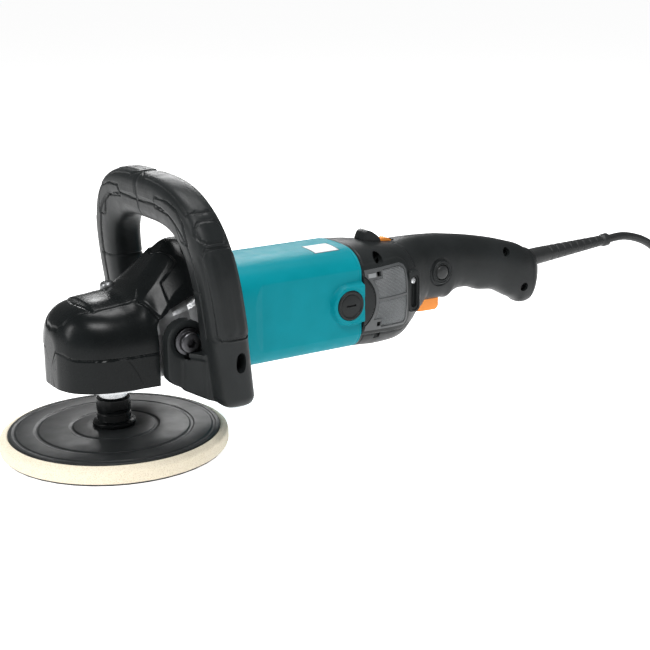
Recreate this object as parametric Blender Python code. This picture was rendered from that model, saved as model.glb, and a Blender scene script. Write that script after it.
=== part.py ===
"""Rotary polisher with a loop handle, a rear handle and a 180 mm pad.

The origin is on the spindle's axis at the pad's working face. +Z runs up the spindle, and +X runs
from the spindle along the motor to the rear handle and the cord. The names and sizes below are in
millimetres, and each mesh is made in metres.
"""

from math import atan2, ceil, cos, hypot, pi, radians, sin

import bmesh
import bpy
from mathutils import Matrix, Vector
from mathutils.geometry import interpolate_bezier

MM = 0.001
GAP = 0.3  # clearance between two pieces that touch

# Pad and spindle
PAD_R = 90.0
PAD_TOP = 14.6
PLATE_R = 83.2
SPINDLE_R = 8.2

# Gear head
MOTOR_Z = 95.0  # height of the armature's axis, and the apex of both pitch cones
GEAR_TEETH = 36
PINION_TEETH = 9
GEAR_PITCH_R = 27.0
HEAD_BOTTOM = 58.0
HEAD_SEAM = 83.0
FLANGE_TOP = 64.0
SHAFT_LOCK_SPOT = (8.5, 19.5)
SCREW_SPOTS = [(x, y) for x in (-27, 27) for y in (-24, 24)]

# Motor
MOTOR_START = 88.4
MOTOR_END = 208.0
MOTOR_HALF_W = 45.0
MOTOR_HALF_H = 44.0
MOTOR_POWER = 3.4
MOTOR_BORE = 41.0
CORE_START, CORE_END = 108.0, 160.0
BRUSH_X = 194.0
BRUSH_BOSS_R = 17.5
REAR_WALL_X = 204.6  # inner face of the wall that carries the rear bearing
SLOTS = 12
SLOT_SHARE = 0.46  # of the pitch between two slots

# Rear handle
WALL = 3.0
LOCK_X, LOCK_Z = 308.0, 102.0
DIAL_X, DIAL_Z, DIAL_R = 258.5, 127.0, 9.5
SWITCH_BOTTOM = 92.0
TRIGGER_TOP = 84.0
LATCH_SPOT = (264.7, 101.0)
WINDOW = (212.7, 257.7, 62.0, 119.0)  # from and to in x, then in z

# Loop handle: a superellipse arch on two legs
LOOP_HALF_W = 84.0
LOOP_HEIGHT = 86.5
LOOP_POWER = 3.15
LOOP_X, LOOP_Z = 54.0, 110.0
LOOP_RAKE = 0.13
LOOP_THICK_X, LOOP_THICK_Y = 15.0, 18.5
LEG_DROP = 63.0
BOLT_X, BOLT_Z = 36.5, 94.0
FOOT_ARCH_R = 16.5

# Cord
CORD_R = 4.0
GUARD_START, GUARD_END = 421.0, 525.0
GUARD_BEND_X = 431.0  # where the guard's upward tilt starts
GUARD_Z = 96.0
GUARD_TILT = 3.0
COIL_CENTRE = (694.0, -81.0)
COIL_IN_R, COIL_OUT_R = 27.0, 65.0
COIL_TURN_R = 61.0
PLUG_HEADING = 160.0
PLUG_Z = 12.2
CORD_ROUTE = (
    (525.0, 0.0, 101.1),
    (548.0, 0.0, 101.2),
    (574.0, -0.5, 93.5),
    (597.0, -1.0, 78.0),
    (616.0, -2.0, 56.0),
    (632.0, -3.0, 34.0),
    (648.0, -4.0, 16.5),
    (665.5, -6.6, 6.2),
    (684.0, -12.4, 4.2),
)


# ---------------------------------------------------------------- helpers


def clear_scene():
    for obj in list(bpy.data.objects):
        bpy.data.objects.remove(obj, do_unlink=True)


def material(name, colour, roughness, metallic=0.0):
    mat = bpy.data.materials.get(name)
    if mat is None:
        mat = bpy.data.materials.new(name)
        mat.use_nodes = True
        shader = mat.node_tree.nodes["Principled BSDF"]
        shader.inputs["Base Color"].default_value = (*colour, 1.0)
        shader.inputs["Roughness"].default_value = roughness
        shader.inputs["Metallic"].default_value = metallic
    return mat


def black_plastic():
    return material("black_plastic", (0.022, 0.025, 0.026), 0.42)


def black_rubber():
    return material("black_rubber", (0.02, 0.021, 0.022), 0.65)


def teal_plastic():
    return material("teal_plastic", (0.0, 0.21, 0.26), 0.35)


def orange_plastic():
    return material("orange_plastic", (1.0, 0.3, 0.03), 0.4)


def cast_aluminium():
    return material("cast_aluminium", (0.55, 0.56, 0.57), 0.38, 1.0)


def steel():
    return material("steel", (0.5, 0.51, 0.52), 0.3, 1.0)


def dark_steel():
    return material("dark_steel", (0.12, 0.12, 0.13), 0.45, 1.0)


def lamination():
    return material("lamination", (0.3, 0.31, 0.33), 0.5, 1.0)


def copper():
    return material("copper", (0.72, 0.33, 0.16), 0.35, 1.0)


def brass():
    return material("brass", (0.75, 0.55, 0.22), 0.35, 1.0)


def carbon():
    return material("carbon", (0.03, 0.03, 0.03), 0.7)


def cream_foam():
    return material("cream_foam", (0.83, 0.76, 0.6), 0.9)


def hook_nylon():
    return material("hook_nylon", (0.05, 0.05, 0.05), 0.9)


def grey_mesh():
    return material("grey_mesh", (0.16, 0.17, 0.18), 0.55)


def to_axis(axis, u, v, h):
    """A point that is (u, v) across the axis and h along it."""
    if axis == "X":
        return Vector((h, u, v))
    if axis == "Y":
        return Vector((u, h, v))
    return Vector((u, v, h))


def new_object(name, bm, mat, smooth=True):
    bmesh.ops.recalc_face_normals(bm, faces=bm.faces)
    bmesh.ops.scale(bm, vec=(MM, MM, MM), verts=bm.verts)
    mesh = bpy.data.meshes.new(name)
    bm.to_mesh(mesh)
    bm.free()
    if smooth:
        mesh.shade_smooth()
        mesh.set_sharp_from_angle(angle=radians(35))
    obj = bpy.data.objects.new(name, mesh)
    bpy.context.scene.collection.objects.link(obj)
    if mat is not None:
        mesh.materials.append(mat)
    return obj


def loft(name, sections, mat, smooth=True, ring=False):
    """A solid through loops of equal count: capped at both ends, or closed on itself as a ring."""
    bm = bmesh.new()
    loops = [[bm.verts.new(p) for p in section] for section in sections]
    pairs = list(zip(loops, loops[1:]))
    if ring:
        pairs.append((loops[-1], loops[0]))
    for low, high in pairs:
        for i in range(len(low)):
            j = (i + 1) % len(low)
            bm.faces.new((low[i], low[j], high[j], high[i]))
    if not ring:
        bm.faces.new(loops[0])
        bm.faces.new(loops[-1])
    bmesh.ops.triangulate(bm, faces=bm.faces)
    return new_object(name, bm, mat, smooth)


def prism(name, outline, axis, low, high, mat=None, smooth=True):
    sections = [[to_axis(axis, u, v, h) for u, v in outline] for h in (low, high)]
    return loft(name, sections, mat, smooth)


def lathe(name, profile, mat, axis="Z", centre=(0.0, 0.0), steps=32):
    """Turns a closed profile of (radius, height) points round the axis at centre."""
    bm = bmesh.new()
    rings = []
    for r, h in profile:
        count = 1 if r == 0 else steps
        angles = [2 * pi * k / steps for k in range(count)]
        spots = [(centre[0] + r * cos(a), centre[1] + r * sin(a)) for a in angles]
        rings.append([bm.verts.new(to_axis(axis, u, v, h)) for u, v in spots])
    heights = [h for _, h in profile]
    for n, low in enumerate(rings):
        m = (n + 1) % len(rings)
        high = rings[m]
        if len(low) == len(high) == 1:
            continue
        if 1 in (len(low), len(high)) and heights[n] == heights[m]:
            bm.faces.new(low if len(high) == 1 else high)
            continue
        for k in range(steps):
            j = (k + 1) % steps
            corners = [low[k % len(low)], low[j % len(low)], high[j % len(high)], high[k % len(high)]]
            bm.faces.new(list(dict.fromkeys(corners)))
    for vert in [v for v in bm.verts if not v.link_faces]:
        bm.verts.remove(vert)
    return new_object(name, bm, mat)


def cylinder(name, r, low, high, mat=None, axis="Z", centre=(0.0, 0.0), steps=24):
    return lathe(name, ((0, low), (r, low), (r, high), (0, high)), mat, axis, centre, steps)


def tube(name, inner, outer, low, high, mat, axis="Z", centre=(0.0, 0.0), steps=32):
    profile = ((inner, low), (outer, low), (outer, high), (inner, high))
    return lathe(name, profile, mat, axis, centre, steps)


def box(name, low, high, mat=None):
    outline = ((low[0], low[1]), (high[0], low[1]), (high[0], high[1]), (low[0], high[1]))
    return prism(name, outline, "Z", low[2], high[2], mat, smooth=False)


# Shells with so many bores that the exact solver leaves open edges on them
MANIFOLD_SHELLS = ("gear_housing", "motor_housing", "handle_half_left", "handle_half_right")


def combine(obj, other, operation):
    """Boolean of obj with a helper solid, which is then only a hidden guide."""
    modifier = obj.modifiers.new(other.name, "BOOLEAN")
    modifier.operation = operation
    modifier.solver = "MANIFOLD" if obj.name in MANIFOLD_SHELLS else "EXACT"
    modifier.object = other
    other.hide_render = True
    other.display_type = "WIRE"
    return obj


def cut(obj, *cutters):
    for cutter in cutters:
        combine(obj, cutter, "DIFFERENCE")
    return obj


def join(obj, *others):
    for other in others:
        combine(obj, other, "UNION")
    return obj


def bevel(obj, width, segments=2):
    modifier = obj.modifiers.new("edges", "BEVEL")
    modifier.width = width * MM
    modifier.segments = segments
    modifier.limit_method = "ANGLE"
    modifier.angle_limit = radians(40)
    return obj


def pivot(obj, empty):
    """Hangs a moving piece on its joint's empty, with its own origin there too."""
    obj.data.transform(Matrix.Translation(-empty.location))
    obj.parent = empty
    return obj


def axis_empty(name, location):
    empty = bpy.data.objects.new(name, None)
    empty.location = Vector(location) * MM
    bpy.context.scene.collection.objects.link(empty)
    return empty


def superellipse(half_w, low, middle, high, low_power, high_power, count=32):
    """A closed outline that is half_w wide at middle, with its own power below and above it."""
    points = []
    for k in range(count):
        angle = 2 * pi * k / count
        power = high_power if sin(angle) >= 0 else low_power
        reach = high - middle if sin(angle) >= 0 else middle - low
        u = abs(cos(angle)) ** (2 / power) * half_w
        v = abs(sin(angle)) ** (2 / power) * reach
        points.append((u if cos(angle) >= 0 else -u, middle + (v if sin(angle) >= 0 else -v)))
    return points


def stations_loft(name, stations, inset, mat, count=24):
    """A loft along X through (x, half width, low, middle, high, low power, high power)."""
    sections = []
    for x, half_w, low, middle, high, low_power, high_power in stations:
        sizes = (half_w - inset, low + inset, middle, high - inset)
        outline = superellipse(*sizes, low_power, high_power, count)
        sections.append([to_axis("X", u, v, x) for u, v in outline])
    return loft(name, sections, mat)


# ---------------------------------------------------------------- pad


def make_pad(spin):
    hook = lathe("hook_face", ((0, 0), (87.5, 0), (88, 0.6), (88, 1.2), (0, 1.2)), hook_nylon(), steps=40)
    foam_profile = (
        (0, 1.5),
        (PAD_R - 1, 1.5),
        (PAD_R, 2.5),
        (PAD_R, 10.6),
        (84.6, PAD_TOP),
        (83.6, PAD_TOP),
        (83.6, 11.3),
        (0, 11.3),
    )
    foam = lathe("foam_layer", foam_profile, cream_foam(), steps=40)
    plate_profile = (
        (8.6, 11.6),
        (PLATE_R, 11.6),
        (PLATE_R, 14.8),
        (81.5, 15.6),
        (62.0, 15.8),
        (60.5, 15.2),
        (58.5, 16.0),
        (34.5, 16.8),
        (32.5, 16.4),
        (17.5, 18.0),
        (8.6, 18.0),
    )
    plate = lathe("backing_plate", plate_profile, black_plastic(), steps=40)
    for obj in (hook, foam, plate, make_hub()):
        pivot(obj, spin)


def make_hub():
    """The clamp hub: a flange, a groove and two wrench flats."""
    profile = (
        (8.6, 18.3),
        (17, 18.3),
        (17, 21.5),
        (13.5, 22.5),
        (13.5, 28),
        (12.5, 28.6),
        (12.5, 30),
        (13.5, 30.6),
        (13.5, 40.3),
        (12.7, 41),
        (8.6, 41),
    )
    hub = lathe("pad_hub", profile, black_plastic(), steps=24)
    for side in (-1, 1):
        low, high = sorted((side * 11.4, side * 20))
        cut(hub, box(f"hub_flat_{side}", (-20, low, 31.5), (20, high, 39)))
    return hub


# ---------------------------------------------------------------- gear head


def bevel_gear_rings(teeth, half_angle, face_width, addendum, dedendum, tooth_share, phase):
    """The toothed loops at the inner and outer ends of a straight bevel gear's face.

    The apex is at the origin and the gear lies towards -Z. Every tooth point is scaled towards
    the apex, so that each flank is part of a plane through it.
    """
    cone = GEAR_PITCH_R / sin(atan2(GEAR_TEETH, PINION_TEETH))
    across = Vector((cos(half_angle), 0, sin(half_angle)))
    along = Vector((sin(half_angle), 0, -cos(half_angle)))
    loops = []
    for distance in (cone - face_width, cone):
        scale = distance / cone
        tip = along * distance + across * addendum * scale
        root = along * distance - across * dedendum * scale
        loop = []
        for tooth in range(teeth):
            middle = 2 * pi * (tooth + phase) / teeth
            half = pi * tooth_share / teeth
            for point, offset in ((root, -1.35), (tip, -0.62), (tip, 0.62), (root, 1.35)):
                turn = Matrix.Rotation(middle + offset * half, 3, "Z")
                loop.append(turn @ point)
        loops.append(loop)
    return loops


def aligned_circle(toothed, r, z):
    """A plain loop whose points keep step with the toothed loop's points."""
    return [Vector((r * p.x / hypot(p.x, p.y), r * p.y / hypot(p.x, p.y), z)) for p in toothed]


def make_bevel_gear(spin):
    half_angle = atan2(GEAR_TEETH, PINION_TEETH)
    inner, outer = bevel_gear_rings(GEAR_TEETH, half_angle, 7.0, 1.0, 1.7, 0.36, 0.5)
    back = (
        aligned_circle(outer, 27.0, -13.0),
        aligned_circle(outer, 14.0, -20.0),
        aligned_circle(outer, SPINDLE_R + GAP, -20.0),
        aligned_circle(inner, SPINDLE_R + GAP, -7.6),
    )
    loops = [inner, outer, *back]
    lift = Vector((0, 0, MOTOR_Z))
    gear = loft("bevel_gear", [[p + lift for p in loop] for loop in loops], dark_steel(), ring=True)
    pivot(gear, spin)


def make_pinion(armature):
    """The pinion has its axis on +X; its loops are made towards -Z and then turned."""
    half_angle = atan2(PINION_TEETH, GEAR_TEETH)
    inner, outer = bevel_gear_rings(PINION_TEETH, half_angle, 7.0, 1.0, 1.7, 0.36, 0.5)
    back = (
        aligned_circle(outer, 6.0, -33.0),
        aligned_circle(outer, 4.3, -33.0),
        aligned_circle(inner, 4.3, -19.0),
    )
    loops = [inner, outer, *back]
    place = Matrix.Translation((0, 0, MOTOR_Z)) @ Matrix.Rotation(radians(-90), 4, "Y")
    pinion = loft("pinion_gear", [[place @ p for p in loop] for loop in loops], dark_steel(), ring=True)
    pivot(pinion, armature)


def make_spindle(spin):
    profile = (
        (0, 12.2),
        (7.2, 12.2),
        (8.2, 13.2),
        (8.2, 41.6),
        (11, 41.6),
        (11, 46.5),
        (SPINDLE_R, 46.5),
        (SPINDLE_R, 88.4),
        (5, 88.4),
        (5, 111.5),
        (0, 111.5),
    )
    pivot(lathe("spindle", profile, steel(), steps=24), spin)


def make_bearings():
    for name, inner, outer, low, high, axis, centre in (
        ("spindle_bearing", SPINDLE_R + GAP, 20, 54, 66, "Z", (0, 0)),
        ("needle_bearing", 5 + GAP, 8, 102.8, 111.5, "Z", (0, 0)),
        ("front_bearing", 6 + GAP, 17.5, 48, 59, "X", (0, MOTOR_Z)),
        ("rear_bearing", 5 + GAP, 13, 213.5, 222, "X", (0, MOTOR_Z)),
    ):
        tube(name, inner, outer, low, high, steel(), axis, centre, 24)


def make_bearing_box():
    """The bearing box: a bright nose ring, a square flange with four screws and a pilot ring."""
    outline = superellipse(37, -37, 0, 37, 2.6, 2.6, 32)
    flange = prism("bearing_box", outline, "Z", 59, FLANGE_TOP, cast_aluminium())
    nose = cylinder("box_nose", 25, 49.5, 60, steps=28)
    pilot = cylinder("box_pilot", 31.2, 62, 67.5, steps=24)
    join(flange, nose, pilot)
    bore = cylinder("box_bore", 20 + GAP, 53.7, 70, steps=24)
    cut(flange, bore, cylinder("box_lip", 11.5, 45, 60, steps=24))
    for index, (x, y) in enumerate(SCREW_SPOTS):
        cut(flange, cylinder(f"box_hole_{index}", 2.8, 50, 70, centre=(x, y), steps=12))


def make_head_screws():
    for index, (x, y) in enumerate(SCREW_SPOTS):
        profile = ((0, 55.5), (4, 55.5), (4, 58.7), (2.4, 58.7), (2.4, 78), (0, 78))
        lathe(f"head_screw_{index + 1}", profile, steel(), centre=(x, y), steps=12)


HEAD_STATIONS = (
    (-50.0, 10.0, 50, HEAD_SEAM, 98.0, 12, 2.6),
    (-48.6, 17.0, 50, HEAD_SEAM, 104.0, 12, 2.6),
    (-45.0, 25.5, 50, HEAD_SEAM, 111.0, 12, 2.6),
    (-40.0, 31.5, 50, HEAD_SEAM, 116.0, 12, 2.6),
    (-32.0, 37.5, 50, HEAD_SEAM, 120.0, 12, 2.6),
    (-20.0, 42.5, 50, HEAD_SEAM, 122.0, 12, 2.6),
    (-5.0, 45.5, 50, HEAD_SEAM, 123.0, 12, 2.6),
    (10.0, 46.5, 50, HEAD_SEAM, 126.0, 12, 2.5),
    (23.0, 47.5, 50, HEAD_SEAM, 138.0, 12, 2.1),
    (37.0, 48.0, 50, HEAD_SEAM, 152.0, 12, 1.8),
    (49.0, 49.0, 50, HEAD_SEAM, 161.5, 12, 1.7),
    (60.0, 50.0, 50, HEAD_SEAM, 163.0, 12, 1.7),
    (81.0, 51.5, 50, HEAD_SEAM, 156.5, 12, 1.8),
    (88.0, 51.5, 50, HEAD_SEAM, 153.0, 12, 1.8),
)


def nose_moved_back(inset):
    """The head's stations with its rounded nose set back, for a shape that lies inside it."""
    return [(x + inset if x < -25 else x, *rest) for x, *rest in HEAD_STATIONS]


# Side view of the part cut away behind the gears, where the loop's feet stand
COVER_REAR_CUT = (
    (19.4, 50),
    (19.4, 103),
    (22, 107.5),
    (34, 115.2),
    (51, 122),
    (60, 125),
    (95, 127),
    (95, 50),
)


def make_head_cover():
    """The black cover: a nose over the gears and a hump behind it, open below and behind."""
    cover = stations_loft("head_cover", HEAD_STATIONS, 0, black_plastic())
    inner = nose_moved_back(WALL)[:-2]
    inner.append((84.5, 51.5, 50, HEAD_SEAM, 155.0, 12, 1.8))
    cut(cover, stations_loft("cover_cavity", inner, WALL, None))
    cut(cover, box("cover_bottom", (-60, -60, 40), (95, 60, HEAD_BOTTOM)))
    cut(cover, prism("cover_rear", COVER_REAR_CUT, "Y", -60, 60))
    cut(cover, cylinder("cover_collar", 47.2, 80, 95, axis="X", centre=(0, MOTOR_Z), steps=32))
    cut(cover, cylinder("cover_button_hole", 6.5, 100, 140, centre=SHAFT_LOCK_SPOT, steps=20))
    return cover


# Bored chambers as (radius, height) profiles: the bevel gear, spindle top and needle bearing; the
# pinion, front bearing and fan; the shaft lock's pin and spring
GEAR_CHAMBER = (
    (0, 50),
    (31.8, 50),
    (31.8, 92.6),
    (16, 92.6),
    (16, 102.5),
    (8.3, 102.5),
    (8.3, 113),
    (0, 113),
)
PINION_CHAMBER = (
    (0, 10.5),
    (14.5, 10.5),
    (14.5, 47.7),
    (17.8, 47.7),
    (17.8, 62),
    (41, 62),
    (41, 95),
    (0, 95),
)
LOCK_WELL = ((0, 88), (3.4, 88), (3.4, 110), (6.7, 110), (6.7, 140), (0, 140))


def make_gear_housing():
    """The cast gear housing under the cover, with its gear, pinion, bearing and fan chambers."""
    inset = WALL + 0.6
    chosen = [s for n, s in enumerate(nose_moved_back(inset)[:9]) if n not in (1, 3, 5)]
    stations = [(x, half_w, 56.5, *rest) for x, half_w, _, *rest in chosen]
    stations += [
        (37.0, 46.8, 54.0, 84.0, 140.0, 6, 1.8),
        (50.0, 47.0, 50.0, 88.0, 142.0, 3, 1.8),
        (62.0, 50.0, 45.0, MOTOR_Z, 145.0, 2.0, 2.0),
        (88.1, 50.0, 45.0, MOTOR_Z, 145.0, 2.0, 2.0),
    ]
    housing = stations_loft("gear_housing", stations, inset, cast_aluminium())
    cut(housing, box("housing_floor", (-60, -60, 40), (38.5, 60, FLANGE_TOP + GAP)))
    cut(
        housing,
        lathe("gear_chamber", GEAR_CHAMBER, None, steps=32),
        lathe("pinion_chamber", PINION_CHAMBER, None, "X", (0, MOTOR_Z), 32),
        lathe("lock_well", LOCK_WELL, None, "Z", SHAFT_LOCK_SPOT, 20),
    )
    for index, (x, y) in enumerate(SCREW_SPOTS):
        cut(housing, cylinder(f"housing_hole_{index}", 2.8, 50, 79, centre=(x, y), steps=12))
    for side in (-1, 1):
        low, high = sorted((side * 30, side * 60))
        centre = (BOLT_X, BOLT_Z)
        hole = cylinder(f"bolt_hole_{side}", 4.4, low, high, axis="Y", centre=centre, steps=16)
        cut(housing, hole)


def helix(name, centre, r, low, high, turns, wire_r, mat):
    """A compression spring as a wire curve with filled ends."""
    count = ceil(turns * 8)
    curve = bpy.data.curves.new(name, "CURVE")
    curve.dimensions = "3D"
    curve.bevel_depth = wire_r * MM
    curve.bevel_resolution = 1
    curve.use_fill_caps = True
    spline = curve.splines.new("POLY")
    spline.points.add(count)
    for k, point in enumerate(spline.points):
        angle = 2 * pi * turns * k / count
        z = low + wire_r + (high - low - 2 * wire_r) * k / count
        place = Vector((centre[0] + r * cos(angle), centre[1] + r * sin(angle), z)) * MM
        point.co = (*place, 1)
    obj = bpy.data.objects.new(name, curve)
    bpy.context.scene.collection.objects.link(obj)
    curve.materials.append(mat)
    return obj


def make_shaft_lock():
    lock = axis_empty("shaft_lock_axis", (*SHAFT_LOCK_SPOT, 120))
    profile = (
        (0, 97),
        (2.6, 97),
        (3, 97.6),
        (3, 118.8),
        (6, 118.8),
        (6, 126.4),
        (5, 128),
        (0, 128.6),
    )
    button = lathe("shaft_lock_button", profile, steel(), centre=SHAFT_LOCK_SPOT, steps=20)
    pivot(button, lock)
    helix("shaft_lock_spring", SHAFT_LOCK_SPOT, 4.6, 110.2, 118.6, 3.5, 0.55, steel())


# ---------------------------------------------------------------- loop handle


def loop_point(share):
    """A point (y, height above LOOP_Z) on the loop's centreline, share 0 to 1 from foot to foot."""
    leg = 0.2
    if share < leg or share > 1 - leg:
        end = share if share < leg else 1 - share
        drop = LEG_DROP * (1 - end / leg)
        y = LOOP_HALF_W - 4 * drop / LEG_DROP
        return (-y if share < 0.5 else y), -drop
    angle = pi * (share - leg) / (1 - 2 * leg)
    y = -LOOP_HALF_W * abs(cos(angle)) ** (2 / LOOP_POWER) * (1 if cos(angle) > 0 else -1)
    return y, LOOP_HEIGHT * abs(sin(angle)) ** (2 / LOOP_POWER)


def loop_sections():
    sections = []
    count = 32
    for k in range(count + 1):
        share = k / count
        y, height = loop_point(share)
        before = loop_point(max(0.0, share - 0.01))
        after = loop_point(min(1.0, share + 0.01))
        along = Vector((after[0] - before[0], after[1] - before[1])).normalized()
        out_y, out_z = -along.y, along.x
        outline = superellipse(LOOP_THICK_Y, -LOOP_THICK_X, 0, LOOP_THICK_X, 3.6, 3.6, 16)
        section = []
        for u, v in outline:
            h = height + u * out_z
            section.append(Vector((LOOP_X - LOOP_RAKE * h + v, y + u * out_y, LOOP_Z + h)))
        sections.append(section)
    return sections


def foot_outline():
    """Side view of a foot: an arch over the bolt, a straight front and a sloping underside."""
    r = FOOT_ARCH_R
    arch = [(BOLT_X + r * cos(a), BOLT_Z + r * sin(a)) for a in [pi * k / 10 for k in range(11)]]
    return [*arch, (BOLT_X - r, 66), (33, 56.5), (50, 51), (66, 48.5), (66, BOLT_Z)]


def foot_web(side):
    """The block that joins a foot to its leg; its front face slants back towards the leg."""
    plan = [(31.5, 58), (33, 62), (40.5, 76), (42, 80), (70, 80), (70, 58)]
    plan = [(x, side * y) for x, y in plan]
    web = prism(f"foot_web_{side}", plan, "Z", 44, 85)
    below = ((20, 62), (33, 55), (50, 48.5), (80, 46.8), (80, 30), (20, 30))
    cut(web, prism(f"foot_below_{side}", below, "Y", *sorted((side * 50, side * 90))))
    return web


def make_loop_handle():
    """The loop, whose two feet stand against the gear housing and take one bolt each."""
    loop = loft("loop_handle", loop_sections(), black_plastic())
    for side in (-1, 1):
        foot = prism(f"foot_plate_{side}", foot_outline(), "Y", *sorted((side * 49.5, side * 60)))
        join(loop, foot, foot_web(side))
        centre = (BOLT_X, BOLT_Z)
        low, high = sorted((side * 40, side * 70))
        cut(loop, cylinder(f"foot_hole_{side}", 4.4, low, high, axis="Y", centre=centre, steps=16))
        low, high = sorted((side * 60.2, side * 72))
        cut(loop, cylinder(f"foot_recess_{side}", 12.5, low, high, axis="Y", centre=centre, steps=24))
        low, high = sorted((side * 93, side * 110))
        slot = superellipse(4.2, -8, 0, 8, 2.4, 2.4, 16)
        outline = [(60 + u, 83 + v) for u, v in slot]
        cut(loop, prism(f"leg_hole_{side}", outline, "Y", low, high))


def make_loop_bolts():
    for name, side in (("loop_bolt_left", 1), ("loop_bolt_right", -1)):
        head = ((0, 34), (4, 34), (4, 60.5), (8, 60.5), (8, 66), (7.2, 66.8), (0, 66.8))
        profile = [(r, side * h) for r, h in head]
        bolt = lathe(name, profile, dark_steel(), "Y", (BOLT_X, BOLT_Z), 20)
        hexagon = [(BOLT_X + 3.6 * cos(pi * k / 3), BOLT_Z + 3.6 * sin(pi * k / 3)) for k in range(6)]
        cut(bolt, prism(f"{name}_socket", hexagon, "Y", *sorted((side * 62.5, side * 70)), smooth=False))


# ---------------------------------------------------------------- motor


def brush_boss_outline():
    """A half circle round the brush cap, drawn out to the housing's rear edge."""
    r = BRUSH_BOSS_R
    angles = [pi / 2 + pi * k / 12 for k in range(13)]
    round_end = [(BRUSH_X + r * cos(a), MOTOR_Z + r * sin(a)) for a in angles]
    rear = MOTOR_END - 0.4
    return round_end + [(rear, MOTOR_Z - r), (rear, MOTOR_Z + r)]


def motor_bore():
    """The bore for the stator, then the rear wall's hole and the rear bearing's seat."""
    seat = 213.2
    return (
        (0, 80),
        (MOTOR_BORE, 80),
        (MOTOR_BORE, REAR_WALL_X),
        (10, REAR_WALL_X),
        (10, seat),
        (13.3, seat),
        (13.3, 230),
        (0, 230),
    )


def make_motor_housing():
    z = MOTOR_Z
    low, high = z - MOTOR_HALF_H, z + MOTOR_HALF_H
    section = (MOTOR_HALF_W, low, z, high, MOTOR_POWER, MOTOR_POWER)
    stations = [(x, *section) for x in (MOTOR_START, MOTOR_END)]
    housing = stations_loft("motor_housing", stations, 0, teal_plastic(), 32)
    centre = (0, z)
    for side in (-1, 1):
        low, high = sorted((side * 38, side * 47.6))
        join(housing, prism(f"brush_boss_{side}", brush_boss_outline(), "Y", low, high))
    join(housing, cylinder("bearing_tube", 16.5, REAR_WALL_X + 0.8, 222, axis="X", centre=centre, steps=24))
    cut(housing, lathe("motor_bore", motor_bore(), None, "X", centre, 32))
    for k in range(6):
        angle = pi / 6 + k * pi / 3
        spot = (27 * cos(angle), z + 27 * sin(angle))
        cut(housing, cylinder(f"air_hole_{k}", 8, 200, 220, axis="X", centre=spot, steps=12))
    for side in (-1, 1):
        low, high = sorted((side * 30, side * 60))
        hole = cylinder(f"cap_hole_{side}", 12.8, low, high, axis="Y", centre=(BRUSH_X, z), steps=24)
        cut(housing, hole)


def arc(r, start, end, count):
    angles = [start + (end - start) * k / count for k in range(count + 1)]
    return [(r * cos(angle), r * sin(angle)) for angle in angles]


def raise_outline(points):
    return [(u, v + MOTOR_Z) for u, v in points]


def make_stator():
    """A ring of laminations with two pole shoes, and a field coil in each gap between them."""
    core = tube("stator_core", 31.6, 40.6, CORE_START, CORE_END, lamination(), "X", (0, MOTOR_Z), 40)
    for side in (-1, 1):
        middle = 0 if side > 0 else pi
        edge = radians(38)
        outline = arc(33, middle - edge, middle + edge, 8) + arc(25.2, middle + edge, middle - edge, 8)
        join(core, prism(f"pole_shoe_{side}", raise_outline(outline), "X", CORE_START + 0.2, CORE_END - 0.2))
    for name, middle in (("field_coil_top", pi / 2), ("field_coil_bottom", -pi / 2)):
        edge = radians(48)
        outline = arc(31.2, middle - edge, middle + edge, 10) + arc(25.6, middle + edge, middle - edge, 10)
        prism(name, raise_outline(outline), "X", CORE_START - 8, CORE_END + 8, copper())


def make_armature(armature):
    centre = (0, MOTOR_Z)
    shaft_profile = (
        (0, 19.5),
        (4, 19.5),
        (4, 33.5),
        (6, 33.5),
        (6, 66),
        (5, 66),
        (5, 223),
        (0, 223),
    )
    shaft = lathe("armature_shaft", shaft_profile, steel(), "X", centre, 20)
    core = make_armature_core()
    windings = make_windings()
    commutator = tube("commutator", 5 + GAP, 14, 181, 203, copper(), "X", centre, 24)
    for piece in (shaft, core, windings, commutator, make_fan()):
        pivot(piece, armature)


def make_armature_core():
    """A slotted stack of laminations, as one toothed outline with a bore."""
    outer, slot_r = 24.4, 17.5
    edges = ((slot_r, 0.0), (slot_r, SLOT_SHARE), (outer, SLOT_SHARE), (outer, 0.75), (outer, 1.0))
    points = [(r, 2 * pi * (k + share) / SLOTS) for k in range(SLOTS) for r, share in edges]
    toothed = [(r * cos(a), MOTOR_Z + r * sin(a)) for r, a in points]
    bore = [((5 + GAP) * cos(a), MOTOR_Z + (5 + GAP) * sin(a)) for r, a in points]
    loops = [
        [to_axis("X", u, v, x) for u, v in outline]
        for outline, x in ((toothed, CORE_START), (toothed, CORE_END), (bore, CORE_END), (bore, CORE_START))
    ]
    return loft("armature_core", loops, lamination(), smooth=False, ring=True)


def make_windings():
    """The two end rings of the windings, joined by the bars that lie in the core's slots."""
    centre = (0, MOTOR_Z)
    windings = tube("armature_windings", 9, 22, CORE_START - 8, CORE_START - GAP, copper(), "X", centre, 24)
    join(windings, tube("rear_end_ring", 9, 22, CORE_END + GAP, CORE_END + 8, copper(), "X", centre, 24))
    for k in range(SLOTS):
        angle = 2 * pi * (k + SLOT_SHARE / 2) / SLOTS
        turn = Matrix.Rotation(angle, 2)
        corners = [turn @ Vector(p) for p in ((18.4, -1.3), (21.5, -1.3), (21.5, 1.3), (18.4, 1.3))]
        outline = [(p.x, p.y + MOTOR_Z) for p in corners]
        bar = prism(f"slot_bar_{k}", outline, "X", CORE_START - 4, CORE_END + 4, None, smooth=False)
        join(windings, bar)
    return windings


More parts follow.
